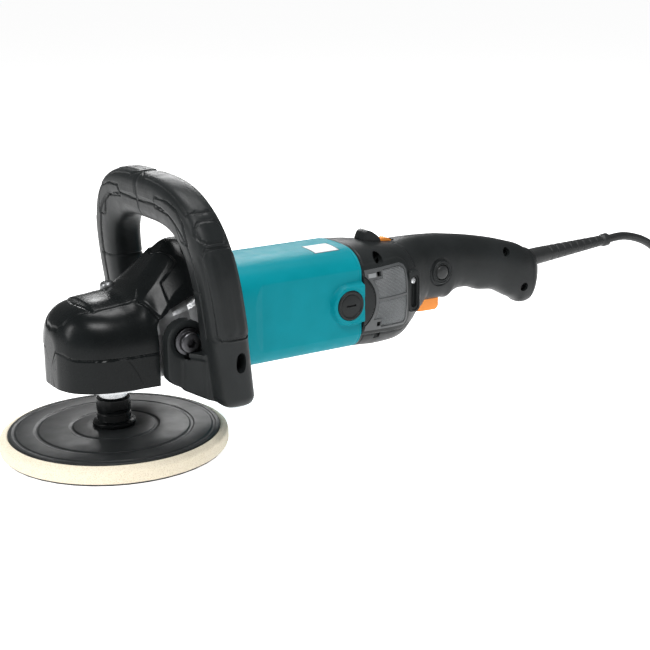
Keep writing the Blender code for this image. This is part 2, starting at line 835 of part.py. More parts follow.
def make_fan():
    """A radial fan: a hub, a back disc and nine straight blades."""
    centre = (0, MOTOR_Z)
    profile = ((5 + GAP, 70), (11, 70), (11, 83), (38, 83.5), (38, 85.5), (5 + GAP, 85.5))
    fan = lathe("cooling_fan", profile, black_plastic(), "X", centre, 36)
    for k in range(9):
        turn = Matrix.Rotation(2 * pi * (k + 0.5) / 9, 2)
        corners = [turn @ Vector(p) for p in ((9.5, -0.8), (37, -0.8), (37, 0.8), (9.5, 0.8))]
        outline = [(p.x, p.y + MOTOR_Z) for p in corners]
        join(fan, prism(f"fan_blade_{k}", outline, "X", 72, 84.5, None, smooth=False))
    return fan


def make_brushes():
    """The carbon brushes, their holders and the slotted caps that close them."""
    z = MOTOR_Z
    for name, side in (("left", 1), ("right", -1)):
        low, high = sorted((side * 14.4, side * 32))
        box(f"carbon_brush_{name}", (BRUSH_X - 4, low, z - 3), (BRUSH_X + 4, high, z + 3), carbon())
        low, high = sorted((side * 17, side * 41))
        holder = box(f"brush_holder_{name}", (BRUSH_X - 7, low, z - 6), (BRUSH_X + 7, high, z + 6), brass())
        low, high = sorted((side * 10, side * 38))
        cut(holder, box(f"holder_bore_{name}", (BRUSH_X - 4.3, low, z - 3.3), (BRUSH_X + 4.3, high, z + 3.3)))
        profile = [(r, side * h) for r, h in ((0, 41.4), (12.4, 41.4), (12.4, 47.6), (11.6, 48.4), (0, 48.4))]
        cap = lathe(f"brush_cap_{name}", profile, black_plastic(), "Y", (BRUSH_X, z), 28)
        low, high = sorted((side * 46.6, side * 50))
        cut(cap, box(f"cap_slot_{name}", (BRUSH_X - 5, low, z - 0.9), (BRUSH_X + 5, high, z + 0.9)))


def make_baffle():
    tube("baffle_plate", 30, 40.6, 90, 93, black_plastic(), "X", (0, MOTOR_Z), 36)


# ---------------------------------------------------------------- rear handle

HANDLE_STATIONS = (
    (208.4, 44.0, 51.0, 95.0, 138.5, 3.2, 3.2),
    (226.7, 43.5, 48.5, 93.5, 137.5, 2.8, 2.8),
    (246.7, 41.0, 47.5, 91.5, 134.5, 2.6, 2.6),
    (261.7, 36.0, 49.0, 92.0, 133.0, 2.6, 2.6),
    (274.7, 28.5, 56.0, 94.0, 133.6, 2.5, 2.5),
    (284.7, 23.8, 64.0, 97.0, 133.8, 2.5, 2.5),
    (290.7, 21.6, 69.0, 99.0, 133.8, 2.5, 2.5),
    (295.5, 20.8, 74.5, 101.0, 133.6, 2.5, 2.5),
    (316.0, 19.0, 74.5, 102.0, 132.3, 2.5, 2.5),
    (322.0, 18.5, 73.5, 101.5, 131.6, 2.4, 2.4),
    (328.0, 18.0, 77.0, 102.5, 130.7, 2.3, 2.3),
    (338.0, 17.5, 80.0, 104.0, 129.2, 2.3, 2.3),
    (356.0, 17.5, 77.0, 101.0, 126.0, 2.3, 2.3),
    (380.0, 18.0, 72.0, 96.0, 120.6, 2.3, 2.3),
    (396.0, 18.0, 64.0, 90.0, 116.0, 2.4, 2.4),
    (407.0, 17.5, 58.0, 86.0, 112.5, 2.5, 2.5),
    (415.0, 16.5, 55.5, 83.0, 108.5, 2.5, 2.5),
    (422.0, 15.0, 58.5, 82.0, 105.0, 2.5, 2.5),
    (427.0, 12.0, 68.0, 84.0, 100.5, 2.5, 2.5),
)
HANDLE_SCREWS = ((230.0, 127.5, 28.0), (385.5, 109.0, 12.8), (407.5, 73.5, 15.8))
DIAL_HOOD = ((232.5, 133), (235, 141), (237.5, 145), (242.5, 144), (249.5, 139.8), (254, 128))


def make_handle_shell(name):
    """The whole rear handle as one hollow shell, before it is split down its middle."""
    shell = stations_loft(name, HANDLE_STATIONS, 0, black_plastic())
    join(shell, prism(f"{name}_hood", DIAL_HOOD, "Y", -6.8, 6.8, smooth=False))
    low, high = -21.6, -14
    centre = (LOCK_X, LOCK_Z)
    join(shell, cylinder(f"{name}_ring", 10.2, low, high, axis="Y", centre=centre, steps=28))
    inner = [(205.0, *HANDLE_STATIONS[0][1:]), *HANDLE_STATIONS[2:-2:2]]
    inner.append((424.0, 13.5, 64.0, 83.0, 103.0, 2.5, 2.5))
    cut(shell, stations_loft(f"{name}_cavity", inner, WALL, None, 16))
    for index, (x, z, reach) in enumerate(HANDLE_SCREWS):
        boss = cylinder(f"{name}_boss_{index}", 5.4, 1 - reach, reach - 1, axis="Y", centre=(x, z), steps=16)
        join(shell, boss)
    cut(
        shell,
        box(f"{name}_trigger_slot", (292.4, -6.9, 50), (316.6, 6.9, 90)),
        box(f"{name}_dial_slot", (DIAL_X - 10.6, -3.9, 116), (DIAL_X + 10.6, 3.9, 150)),
        cylinder(f"{name}_guard_hole", 8.5, 418, 434, axis="X", centre=(0, GUARD_Z), steps=24),
        cylinder(f"{name}_lock_hole", 7.1, -30, -8, axis="Y", centre=centre, steps=24),
    )
    for index, (x, z, reach) in enumerate(HANDLE_SCREWS):
        spot = (x, z)
        hole = cylinder(f"{name}_shank_{index}", 2.2, -reach - 4, 10, axis="Y", centre=spot, steps=12)
        well = cylinder(f"{name}_well_{index}", 4.2, -reach - 10, 7 - reach, axis="Y", centre=spot, steps=16)
        cut(shell, hole, well)
    for side in (-1, 1):
        low, high = sorted((side * 20, side * 60))
        cut(shell, window_box(f"{name}_window_{side}", low, high, 0))
        latch = cylinder(f"{name}_latch_hole_{side}", 2.2, low, high, axis="Y", centre=LATCH_SPOT, steps=12)
        cut(shell, latch)
    return shell


def window_box(name, low, high, inset):
    """The opening for a dust screen in one side of the handle."""
    x_from, x_to, z_from, z_to = WINDOW
    return box(name, (x_from + inset, low, z_from + inset), (x_to - inset, high, z_to - inset))


def make_handle_halves():
    for name, side in (("handle_half_left", 1), ("handle_half_right", -1)):
        shell = make_handle_shell(name)
        low, high = sorted((side * 0.15, side * -60))
        cut(shell, box(f"{name}_split", (190, low, 20), (450, high, 170)))


# The tab's plan (x, distance from the middle): its root is in the panel, the rest lies on the shell
SCREEN_TAB = (
    (252.2, 38.5),
    (257.1, 37.0),
    (257.1, 39.2),
    (261.7, 37.0),
    (270.2, 32.4),
    (270.7, 34.5),
    (262.5, 39.3),
    (252.2, 42.9),
)


def make_dust_screens():
    """A curved mesh panel in each side window, with a tab behind it that takes a screw."""
    for name, side in (("left", 1), ("right", -1)):
        low, high = sorted((side * 15, side * 60))
        screen = stations_loft(f"dust_screen_{name}", HANDLE_STATIONS[:7], -1.2, grey_mesh())
        window = window_box(f"screen_window_{name}", low, high, GAP)
        combine(screen, window, "INTERSECT")
        cut(screen, stations_loft(f"screen_inside_{name}", HANDLE_STATIONS[:7], 2.6, None))
        plate = [(x, side * y) for x, y in SCREEN_TAB]
        tab = prism(f"screen_tab_{name}", plate, "Z", 84, 112, smooth=False)
        join(screen, tab)
        cut(screen, cylinder(f"tab_hole_{name}", 2.2, low, high, axis="Y", centre=LATCH_SPOT, steps=12))
        low, high = sorted((side * 37.9, side * 50))
        cut(screen, cylinder(f"tab_well_{name}", 4.1, low, high, axis="Y", centre=LATCH_SPOT, steps=16))
        make_latch_screw(name, side)


def make_latch_screw(name, side):
    profile = [(r, side * h) for r, h in ((0, 26), (1.8, 26), (1.8, 38.4), (3.6, 38.4), (3.6, 40), (0, 40.4))]
    lathe(f"latch_screw_{name}", profile, steel(), "Y", LATCH_SPOT, 12)


def make_handle_screws():
    for index, (x, z, reach) in enumerate(HANDLE_SCREWS):
        head, end = -reach + 4, -reach + 6.7
        profile = ((0, head), (3.8, head), (3.8, end), (1.8, end), (1.8, 8), (0, 8))
        lathe(f"handle_screw_{index + 1}", profile, dark_steel(), "Y", (x, z), 12)


def make_controls():
    trigger_axis = axis_empty("trigger_axis", (304.5, 0, 76))
    outline = ((293, 66), (295, 64.8), (313, 64.3), (316, 67.5), (316, TRIGGER_TOP), (293, TRIGGER_TOP))
    trigger = prism("trigger", outline, "Y", -6.3, 6.3, orange_plastic(), smooth=False)
    bevel(trigger, 1.0, 2)
    pivot(trigger, trigger_axis)
    spring_centre = (304.5, 0)
    helix("trigger_spring", spring_centre, 3.6, TRIGGER_TOP + 0.2, SWITCH_BOTTOM - 0.2, 3.5, 0.5, steel())
    box("switch_body", (283, -9.5, SWITCH_BOTTOM), (330, 9.5, 112), black_plastic())

    button_axis = axis_empty("lock_button_axis", (LOCK_X, -18, LOCK_Z))
    profile = ((0, -23.4), (5.6, -23.4), (6.7, -22.4), (6.7, -13.5), (0, -13.5))
    button = lathe("lock_button", profile, black_rubber(), "Y", (LOCK_X, LOCK_Z), 24)
    pivot(button, button_axis)

    dial_axis = axis_empty("speed_dial_axis", (DIAL_X, 0, DIAL_Z))
    dial = make_dial()
    pivot(dial, dial_axis)
    box("speed_controller", (248, -11, 96), (274, 11, 116.5), black_plastic())


def make_dial():
    """The thumb wheel, with shallow teeth on its rim."""
    rim = []
    for k in range(48):
        r = DIAL_R if k % 2 else DIAL_R - 0.5
        rim.append((DIAL_X + r * cos(2 * pi * k / 48), DIAL_Z + r * sin(2 * pi * k / 48)))
    return prism("speed_dial", rim, "Y", -3.3, 3.3, orange_plastic(), smooth=False)


# ---------------------------------------------------------------- cord


def make_cord_guard():
    profile = [(0, GUARD_START), (8, GUARD_START), (8, 437)]
    for k in range(4):
        x = 440 + 20 * k
        r = 7.7 - 2.3 * k / 3
        profile += [(r, x), (r - 0.1, x + 12)]
    profile += [(6.2, 521.5), (6.2, GUARD_END - 0.8), (5.6, GUARD_END), (0, GUARD_END)]
    guard = lathe("cord_guard", profile, black_rubber(), "X", (0, GUARD_Z), 16)
    hinge = Matrix.Translation(Vector((GUARD_BEND_X, 0, GUARD_Z)) * MM)
    tilt = Matrix.Rotation(radians(-GUARD_TILT), 4, "Y")
    guard.data.transform(hinge @ tilt @ hinge.inverted())


def smooth_route(route, spacing):
    """Points about spacing apart on a smooth curve through the route's points."""
    points = [Vector(p) for p in route]
    dense = []
    for k in range(len(points) - 1):
        before = points[max(k - 1, 0)]
        after = points[min(k + 2, len(points) - 1)]
        start, end = points[k], points[k + 1]
        lead_out = start + (end - before) / 6
        lead_in = end - (after - start) / 6
        dense += interpolate_bezier(start, lead_out, lead_in, end, 12)[:-1]
    dense.append(points[-1])
    chosen = [dense[0]]
    for point in dense:
        if (point - chosen[-1]).length >= spacing:
            chosen.append(point)
    chosen[-1] = points[-1]
    return chosen


def make_cord():
    tilt = radians(GUARD_TILT)
    reach = GUARD_END + GAP - GUARD_BEND_X
    start = (GUARD_BEND_X + reach * cos(tilt), 0.0, GUARD_Z + reach * sin(tilt))
    points = smooth_route((start, *CORD_ROUTE[1:]), 2.2 * 2 * CORD_R)
    curve = bpy.data.curves.new("power_cord", "CURVE")
    curve.dimensions = "3D"
    curve.bevel_depth = CORD_R * MM
    curve.bevel_resolution = 3
    curve.use_fill_caps = True
    spline = curve.splines.new("POLY")
    spline.points.add(len(points) - 1)
    for point, place in zip(spline.points, points):
        point.co = (*(place * MM), 1)
    curve.materials.append(black_rubber())
    cord = bpy.data.objects.new("power_cord", curve)
    bpy.context.scene.collection.objects.link(cord)


def make_coil():
    profile = (
        (COIL_IN_R, 2),
        (COIL_IN_R + 2, 0.1),
        (COIL_OUT_R - 2, 0.1),
        (COIL_OUT_R, 2),
        (COIL_OUT_R, 14.5),
        (COIL_OUT_R - 2, 16.5),
        (COIL_IN_R + 2, 16.5),
        (COIL_IN_R, 14.5),
    )
    lathe("cord_coil", profile, black_rubber(), "Z", COIL_CENTRE, 32)


def make_plug():
    """The plug lies beside the coil, on the line where the last turn leaves it."""
    heading = radians(PLUG_HEADING)
    out = Vector((sin(heading), -cos(heading)))
    tangent = Vector(COIL_CENTRE) - COIL_TURN_R * out
    spot = Vector((tangent.x, tangent.y, PLUG_Z)) * MM
    place = Matrix.Translation(spot) @ Matrix.Rotation(heading, 4, "Z")
    stations = (
        (34.0, 5.0, 5.0),
        (50.0, 6.5, 6.5),
        (53.0, 11.0, 9.5),
        (62.0, 13.0, 11.5),
        (78.0, 13.5, 12.0),
        (82.0, 13.5, 12.0),
    )
    sections = []
    for x, half_y, half_z in stations:
        outline = superellipse(half_y, -half_z, 0, half_z, 2.8, 2.8, 20)
        sections.append([Vector((x, u, v)) for u, v in outline])
    body = loft("plug_body", sections, black_rubber())
    body.data.transform(place)
    for name, side in (("plug_blade_left", 1), ("plug_blade_right", -1)):
        y = side * 6.35
        blade = box(name, (82.3, y - 0.75, -3.2), (100, y + 0.75, 3.2), brass())
        blade.data.transform(place)


def main():
    clear_scene()
    spin = axis_empty("spindle_axis", (0, 0, 0))
    armature = axis_empty("armature_axis", (0, 0, MOTOR_Z))
    make_pad(spin)
    make_spindle(spin)
    make_bevel_gear(spin)
    make_bearings()
    make_bearing_box()
    make_head_screws()
    make_head_cover()
    make_gear_housing()
    make_shaft_lock()
    make_loop_handle()
    make_loop_bolts()
    make_motor_housing()
    make_stator()
    make_armature(armature)
    make_pinion(armature)
    make_brushes()
    make_baffle()
    make_handle_halves()
    make_dust_screens()
    make_handle_screws()
    make_controls()
    make_cord_guard()
    make_cord()
    make_coil()
    make_plug()


main()
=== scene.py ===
"""The looks of a rotary polisher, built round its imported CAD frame.

Sizes below are in millimetres in the frame's axes, and each mesh is made in metres. The pad spins
about +Z at the origin, and the motor and the rear handle run along +X. The near side is -Y.
"""

from math import cos, hypot, pi, radians, sin

import bmesh
import bpy
import numpy as np
from mathutils import Matrix, Vector


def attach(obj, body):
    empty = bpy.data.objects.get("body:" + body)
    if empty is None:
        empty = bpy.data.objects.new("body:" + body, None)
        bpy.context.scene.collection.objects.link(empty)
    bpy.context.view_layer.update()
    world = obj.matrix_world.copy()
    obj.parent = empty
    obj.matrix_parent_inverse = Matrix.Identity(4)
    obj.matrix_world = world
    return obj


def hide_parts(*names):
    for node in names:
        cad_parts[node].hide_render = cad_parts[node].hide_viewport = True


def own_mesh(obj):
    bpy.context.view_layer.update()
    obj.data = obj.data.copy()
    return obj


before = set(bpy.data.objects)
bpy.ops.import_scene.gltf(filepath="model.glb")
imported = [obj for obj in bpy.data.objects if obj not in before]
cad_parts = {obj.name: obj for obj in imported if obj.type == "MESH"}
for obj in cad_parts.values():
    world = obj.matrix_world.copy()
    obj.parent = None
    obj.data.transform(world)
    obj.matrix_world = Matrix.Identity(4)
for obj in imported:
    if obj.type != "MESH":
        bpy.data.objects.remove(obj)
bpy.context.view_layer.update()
MM = 0.001
BODY = "body"
SPIN = "spindle_group"
SIDES = (("left", 1), ("right", -1))


def new_object(name, data):
    obj = bpy.data.objects.new(name, data)
    bpy.context.scene.collection.objects.link(obj)
    return obj


# ---- camera, light and floor

CAMERA_SPOT = (-426.88, -973.18, 396.24)
CAMERA_ANGLES = (0.99933, 0.277554, -0.00766)
SENSOR_W, FOCAL_RATIO = 36.0, 1405.05 / 650.0
LIT_SPOT = (0.18, 0.0, 0.08)
# Each lamp's name, place, size and power, in metres and watts.
LAMPS = (
    ("key", (-0.25, -0.75, 1.25), (0.5, 0.35), 14),
    ("top", (0.35, 0.15, 1.35), (0.7, 0.35), 12),
    ("side", (-1.2, 0.1, 0.65), (0.15, 0.7), 8),
    ("rim", (0.7, 1.1, 0.7), (0.6, 0.3), 6),
)
WHITE = (1, 1, 1, 1)


def make_camera():
    data = bpy.data.cameras.new("camera")
    data.sensor_width = SENSOR_W
    data.lens = SENSOR_W * FOCAL_RATIO
    data.clip_start, data.clip_end = 0.01, 20.0
    camera = new_object("camera", data)
    heading, pitch, roll = CAMERA_ANGLES
    forward = Vector((cos(heading) * cos(pitch), sin(heading) * cos(pitch), -sin(pitch)))
    right = Vector((sin(heading), -cos(heading), 0))
    up = right.cross(forward)
    turned_right = right * cos(roll) + up * sin(roll)
    turned_up = up * cos(roll) - right * sin(roll)
    axes = Matrix((turned_right, turned_up, -forward)).transposed().to_4x4()
    camera.matrix_world = Matrix.Translation(Vector(CAMERA_SPOT) * MM) @ axes
    bpy.context.scene.camera = camera


def make_lights():
    world = bpy.data.worlds.new("studio")
    world.use_nodes = True
    sky = world.node_tree.nodes["Background"].inputs
    sky["Color"].default_value = WHITE
    sky["Strength"].default_value = 0.2
    bpy.context.scene.world = world
    bpy.context.scene.view_settings.view_transform = "Standard"
    for name, place, size, power in LAMPS:
        data = bpy.data.lights.new(name, "AREA")
        data.shape = "RECTANGLE"
        data.size, data.size_y = size
        data.energy = power
        light = new_object(name, data)
        light.location = place
        aim = Vector(LIT_SPOT) - Vector(place)
        light.rotation_euler = aim.to_track_quat("-Z", "Y").to_euler()


def make_floor():
    bm = bmesh.new()
    bmesh.ops.create_grid(bm, x_segments=2, y_segments=2, size=40.0)
    mesh = bpy.data.meshes.new("floor")
    bm.to_mesh(mesh)
    bm.free()
    floor = new_object("floor", mesh)
    floor.location.z = -0.0002
    shade = bpy.data.materials.new("floor")
    shade.use_nodes = True
    sockets = shade.node_tree.nodes["Principled BSDF"].inputs
    sockets["Base Color"].default_value = (0.94, 0.94, 0.94, 1)
    sockets["Roughness"].default_value = 0.8
    sockets["Emission Color"].default_value = WHITE
    sockets["Emission Strength"].default_value = 0.78
    mesh.materials.append(shade)


# ---- materials


class Shade:
    """A node material under construction: noise layers feed its colour, roughness and bump."""

    def __init__(self, name, roughness=0.4, metallic=0.0, sheen=0.0, specular=0.5):
        self.material = bpy.data.materials.new(name)
        self.material.use_nodes = True
        self.tree = self.material.node_tree
        self.shader = self.tree.nodes["Principled BSDF"]
        sockets = ("Roughness", "Metallic", "Sheen Weight", "Specular IOR Level")
        for socket, value in zip(sockets, (roughness, metallic, sheen, specular)):
            self.shader.inputs[socket].default_value = value
        self.place = self.node("ShaderNodeTexCoord").outputs["Object"]
        self.height = None

    def node(self, kind, **inputs):
        node = self.tree.nodes.new(kind)
        for key, value in inputs.items():
            node.inputs[key.replace("_", " ")].default_value = value
        return node

    def link(self, a, b):
        self.tree.links.new(a, b)

    def stretched(self, scale):
        mapping = self.node("ShaderNodeMapping", Scale=scale)
        self.link(self.place, mapping.inputs["Vector"])
        return mapping.outputs["Vector"]

    def noise(self, scale, detail=3.0, stretch=None):
        node = self.node("ShaderNodeTexNoise", Scale=scale, Detail=detail)
        self.link(self.stretched(stretch) if stretch else self.place, node.inputs["Vector"])
        return node.outputs["Fac"]

    def voronoi(self, scale):
        node = self.node("ShaderNodeTexVoronoi", Scale=scale)
        self.link(self.place, node.inputs["Vector"])
        return node.outputs["Distance"]

    def ramp(self, value, stops):
        """Maps a value through (position, grey or colour) stops."""
        node = self.node("ShaderNodeValToRGB")
        elements = node.color_ramp.elements
        while len(elements) < len(stops):
            elements.new(0.5)
        for element, (position, colour) in zip(elements, stops):
            element.position = position
            grey = isinstance(colour, (int, float))
            element.color = (colour, colour, colour, 1) if grey else (*colour, 1)
        self.link(value, node.inputs["Fac"])
        return node.outputs["Color"]

    def colour(self, value, stops):
        self.link(self.ramp(value, stops), self.shader.inputs["Base Color"])
        return self

    def roughness(self, value, low, high):
        node = self.node("ShaderNodeMapRange", From_Min=0.3, From_Max=0.7, To_Min=low, To_Max=high)
        self.link(value, node.inputs["Value"])
        self.link(node.outputs["Result"], self.shader.inputs["Roughness"])
        return self

    def bump(self, value, distance, strength=1.0):
        """Adds one relief layer, its depth in millimetres."""
        node = self.node("ShaderNodeBump", Strength=strength, Distance=distance * MM)
        self.link(value, node.inputs["Height"])
        if self.height is not None:
            self.link(self.height, node.inputs["Normal"])
        self.height = node.outputs["Normal"]
        self.link(self.height, self.shader.inputs["Normal"])
        return self


def moulded(name, dark, light, low, high, grain=2600.0, relief=0.05, specular=0.4):
    """Spark-textured moulded plastic or rubber: a fine grain, faint blotches and handling marks."""
    shade = Shade(name, specular=specular)
    blotch = shade.noise(38.0, 4.0)
    shade.colour(blotch, ((0.3, dark), (0.7, light)))
    shade.roughness(shade.noise(120.0, 5.0), low, high)
    shade.bump(shade.voronoi(grain), relief, 0.5)
    shade.bump(shade.noise(90.0, 2.0), 0.06, 0.35)
    return shade.material


def metal(name, dark, light, low, high, stretch=None, grain=900.0, relief=0.03):
    shade = Shade(name, metallic=1.0)
    shade.colour(shade.noise(60.0, 5.0), ((0.3, dark), (0.7, light)))
    streak = shade.noise(grain, 4.0, stretch)
    shade.roughness(streak, low, high)
    shade.bump(streak, relief, 0.6)
    return shade.material


def foam_material():
    """Open-cell foam, pale cream with slightly darker pores."""
    shade = Shade("cream_foam", roughness=0.92, sheen=0.15)
    pores = shade.voronoi(900.0)
    shade.colour(pores, ((0.05, (0.46, 0.39, 0.27)), (0.35, (0.66, 0.59, 0.46)), (0.8, (0.70, 0.64, 0.51))))
    shade.bump(pores, 0.35, 0.7)
    shade.bump(shade.noise(160.0, 3.0), 0.5, 0.5)
    return shade.material


def plate_material():
    """Glossier moulded plastic with a blotchy, printed-looking wear."""
    shade = Shade("plate_plastic", specular=0.15)
    blotch = shade.noise(30.0, 5.0)
    shade.colour(blotch, ((0.3, (0.013, 0.0145, 0.015)), (0.7, (0.02, 0.0215, 0.022))))
    shade.roughness(shade.noise(70.0, 6.0), 0.3, 0.45)
    shade.bump(shade.noise(500.0, 3.0), 0.05, 0.4)
    return shade.material


# Each one's name, dark and light colour, lowest and highest roughness, then grain, relief, specular.
MOULDED = {
    "black": ("satin_black", (0.010, 0.0115, 0.0118), (0.0145, 0.0165, 0.017), 0.34, 0.46, 2600, 0.05, 0.16),
    "cover": ("polished_black", (0.004, 0.0048, 0.005), (0.006, 0.0072, 0.0075), 0.22, 0.3, 3200, 0.02, 0.12),
    "grip": ("soft_grip", (0.009, 0.0105, 0.0108), (0.013, 0.0148, 0.0153), 0.34, 0.46, 1700, 0.07, 0.15),
    "rubber": ("cord_rubber", (0.014, 0.015, 0.0155), (0.021, 0.0225, 0.023), 0.36, 0.5, 1400, 0.06, 0.3),
    "teal": ("teal_plastic", (0.0, 0.185, 0.225), (0.001, 0.205, 0.25), 0.40, 0.5, 2200, 0.035, 0.08),
    "orange": ("orange_plastic", (0.80, 0.245, 0.02), (0.88, 0.285, 0.03), 0.36, 0.46, 2200, 0.04),
    "nylon": ("hook_nylon", (0.02, 0.02, 0.02), (0.05, 0.05, 0.05), 0.8, 0.95, 700, 0.6),
    "carbon": ("carbon", (0.02, 0.02, 0.02), (0.035, 0.035, 0.035), 0.6, 0.8, 1800, 0.08),
    "label": ("label_film", (0.50, 0.52, 0.53), (0.56, 0.58, 0.59), 0.35, 0.45, 900, 0.02),
    "screen": ("screen_frame", (0.05, 0.054, 0.056), (0.068, 0.072, 0.074), 0.4, 0.5, 2200, 0.04),
    "wire": ("screen_wire", (0.15, 0.16, 0.165), (0.22, 0.23, 0.235), 0.4, 0.55, 2600, 0.02),
    # A plain dark sheet behind the screens' openings.
    "screen_back": ("screen_backing", (0.03, 0.032, 0.034), (0.06, 0.063, 0.065), 0.7, 0.9, 1500, 0.1),
}
# Each one's name, dark and light colour, lowest and highest roughness, then stretch, grain, relief.
METALS = {
    "cast": ("cast_aluminium", (0.50, 0.51, 0.52), (0.66, 0.67, 0.68), 0.28, 0.42, None, 700.0, 0.12),
    "steel": ("turned_steel", (0.46, 0.47, 0.48), (0.6, 0.61, 0.62), 0.2, 0.34, (1, 1, 9)),
    "zinc": ("zinc_button", (0.16, 0.165, 0.17), (0.24, 0.245, 0.25), 0.32, 0.46),
    "dark_steel": ("black_oxide_steel", (0.05, 0.05, 0.054), (0.09, 0.09, 0.095), 0.3, 0.44),
    "lamination": ("laminations", (0.2, 0.21, 0.22), (0.34, 0.35, 0.36), 0.4, 0.55, (30, 1, 1), 60.0, 0.2),
    "copper": ("enamelled_copper", (0.6, 0.24, 0.1), (0.78, 0.36, 0.17), 0.26, 0.4, (1, 14, 14), 120.0, 0.2),
    "brass": ("brass", (0.6, 0.42, 0.15), (0.75, 0.56, 0.24), 0.22, 0.36),
}
SHADES = {
    **{key: moulded(*values) for key, values in MOULDED.items()},
    **{key: metal(*values) for key, values in METALS.items()},
    "foam": foam_material(),
    "plate": plate_material(),
}


# ---- mesh helpers


def finished(name, bm, material, smooth_angle=None):
    """Makes the object from millimetres."""
    bmesh.ops.recalc_face_normals(bm, faces=bm.faces)
    bmesh.ops.scale(bm, vec=(MM, MM, MM), verts=bm.verts)
    mesh = bpy.data.meshes.new(name)
    bm.to_mesh(mesh)
    bm.free()
    mesh.shade_smooth()
    if smooth_angle:
        mesh.set_sharp_from_angle(angle=radians(smooth_angle))
    if material:
        mesh.materials.append(SHADES[material])
    return new_object(name, mesh)


def stand_for(obj, slot, *nodes, body=BODY):
    """Hangs a piece on its body and hides the CAD nodes it stands for; slot, its finish, is not used."""
    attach(obj, body)
    if nodes:
        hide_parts(*nodes)
    return obj


def skin(name, rows, material=None, smooth_angle=None):
    """A closed skin through rows of points, with a fan over each end."""
    bm = bmesh.new()
    verts = [[bm.verts.new(p) for p in row] for row in rows]
    count = len(verts[0])
    for low, high in zip(verts, verts[1:]):
        for i in range(count):
            j = (i + 1) % count
            bm.faces.new((low[i], low[j], high[j], high[i]))
    for row in (verts[0], verts[-1]):
        middle = bm.verts.new(sum((v.co for v in row), Vector()) / count)
        for i in range(count):
            bm.faces.new((row[i], row[(i + 1) % count], middle))
    return finished(name, bm, material, smooth_angle)


def to_axis(axis, u, v, h):
    return {"X": (h, u, v), "Y": (u, h, v), "Z": (u, v, h)}[axis]


def span(side, near, far):
    """The range from near to far on one side of the middle, in rising order."""
    return sorted((side * near, side * far))


def rounded(profile, radius):
    """A profile of (radius, height) points with its inner corners rounded off by short arcs."""
    steps, most = 3, 0.45
    points = [np.array(p, float) for p in profile]
    result = [points[0]]
    for before, corner, after in zip(points, points[1:], points[2:]):
        back, on = np.linalg.norm(corner - before), np.linalg.norm(after - corner)
        reach = min(radius, back * most, on * most)
        start = corner + (before - corner) / max(back, 1e-6) * reach
        end = corner + (after - corner) / max(on, 1e-6) * reach
        for k in range(steps + 1):
            t = k / steps
            result.append((1 - t) ** 2 * start + 2 * t * (1 - t) * corner + t * t * end)
    result.append(points[-1])
    return result


def ring_outline(u, v, r, count):
    return [(u + r * cos(2 * pi * k / count), v + r * sin(2 * pi * k / count)) for k in range(count)]


def arc(u, v, r, start, end, count):
    return [(u + r * cos(a), v + r * sin(a)) for a in np.linspace(start, end, count)]


def turned(name, profile, material=None, axis="Z", centre=(0, 0), steps=96, radius=0.4, closed=False):
    """A lathe shape; closed joins the profile's ends, otherwise they lie on the axis or stay open."""
    line = rounded([*profile, profile[0]] if closed else profile, radius)
    if closed:
        line = line[:-1]
    bm = bmesh.new()
    rings = []
    for r, h in line:
        spots = ring_outline(*centre, r, steps)[: 1 if r < 1e-6 else steps]
        rings.append([bm.verts.new(to_axis(axis, u, v, h)) for u, v in spots])
    pairs = list(zip(rings, rings[1:]))
    if closed:
        pairs.append((rings[-1], rings[0]))
    for low, high in pairs:
        for k in range(steps if len(low) + len(high) > 2 else 0):
            j = (k + 1) % steps
            corners = (low[k % len(low)], low[j % len(low)], high[j % len(high)], high[k % len(high)])
            bm.faces.new(list(dict.fromkeys(corners)))
    return finished(name, bm, material, 40)


def drum(name, axis, centre, r, low, high, steps):
    """A cylinder to join or to cut with."""
    return turned(name, ((0, low), (r, low), (r, high), (0, high)), None, axis, centre, steps, 0.01)


def plate(name, outline, axis, low, high, material=None, edge=0.0):
    """A prism, with rounded edges if edge is above 0."""
    bm = bmesh.new()
    loops = [[bm.verts.new(to_axis(axis, u, v, h)) for u, v in outline] for h in (low, high)]
    for i in range(len(outline)):
        j = (i + 1) % len(outline)
        bm.faces.new((loops[0][i], loops[0][j], loops[1][j], loops[1][i]))
    bm.faces.new(loops[0])
    bm.faces.new(loops[1])
    bmesh.ops.recalc_face_normals(bm, faces=bm.faces)
    if edge:
        sharp = [e for e in bm.edges if e.calc_face_angle(0) > radians(30)]
        bmesh.ops.bevel(bm, geom=sharp, offset=edge, segments=3, profile=0.6, affect="EDGES")
    return finished(name, bm, material, 35)


def block(name, low, high, edge=0.0):
    outline = ((low[0], low[1]), (high[0], low[1]), (high[0], high[1]), (low[0], high[1]))
    return plate(name, outline, "Z", low[2], high[2], edge=edge)


def applied(obj):
    """Bakes the object's modifiers into its mesh."""
    graph = bpy.context.evaluated_depsgraph_get()
    mesh = bpy.data.meshes.new_from_object(obj.evaluated_get(graph))
    obj.modifiers.clear()
    obj.data = mesh
    return obj


def carve(obj, operation, *tools):
    """Boolean of obj with each tool in turn; the tools are used up."""
    for tool in tools:
        modifier = obj.modifiers.new(tool.name, "BOOLEAN")
        modifier.operation = operation
        modifier.solver = "MANIFOLD"
        modifier.object = tool
    applied(obj)
    for tool in tools:
        bpy.data.objects.remove(tool, do_unlink=True)
    obj.data.shade_smooth()
    obj.data.set_sharp_from_angle(angle=radians(32))
    return obj


def cut(obj, *tools):
    return carve(obj, "DIFFERENCE", *tools)


def points_of(obj, field="co"):
    """The mesh's points, or its normals, as an array."""
    flat = np.empty(len(obj.data.vertices) * 3)
    obj.data.vertices.foreach_get(field, flat)
    return flat.reshape(-1, 3) / (MM if field == "co" else 1)


def put_points(obj, points):
    obj.data.vertices.foreach_set("co", (points * MM).ravel())
    obj.data.update()


def smoothstep(value, low, high):
    t = np.clip((value - low) / (high - low), 0, 1)
    return t * t * (3 - 2 * t)


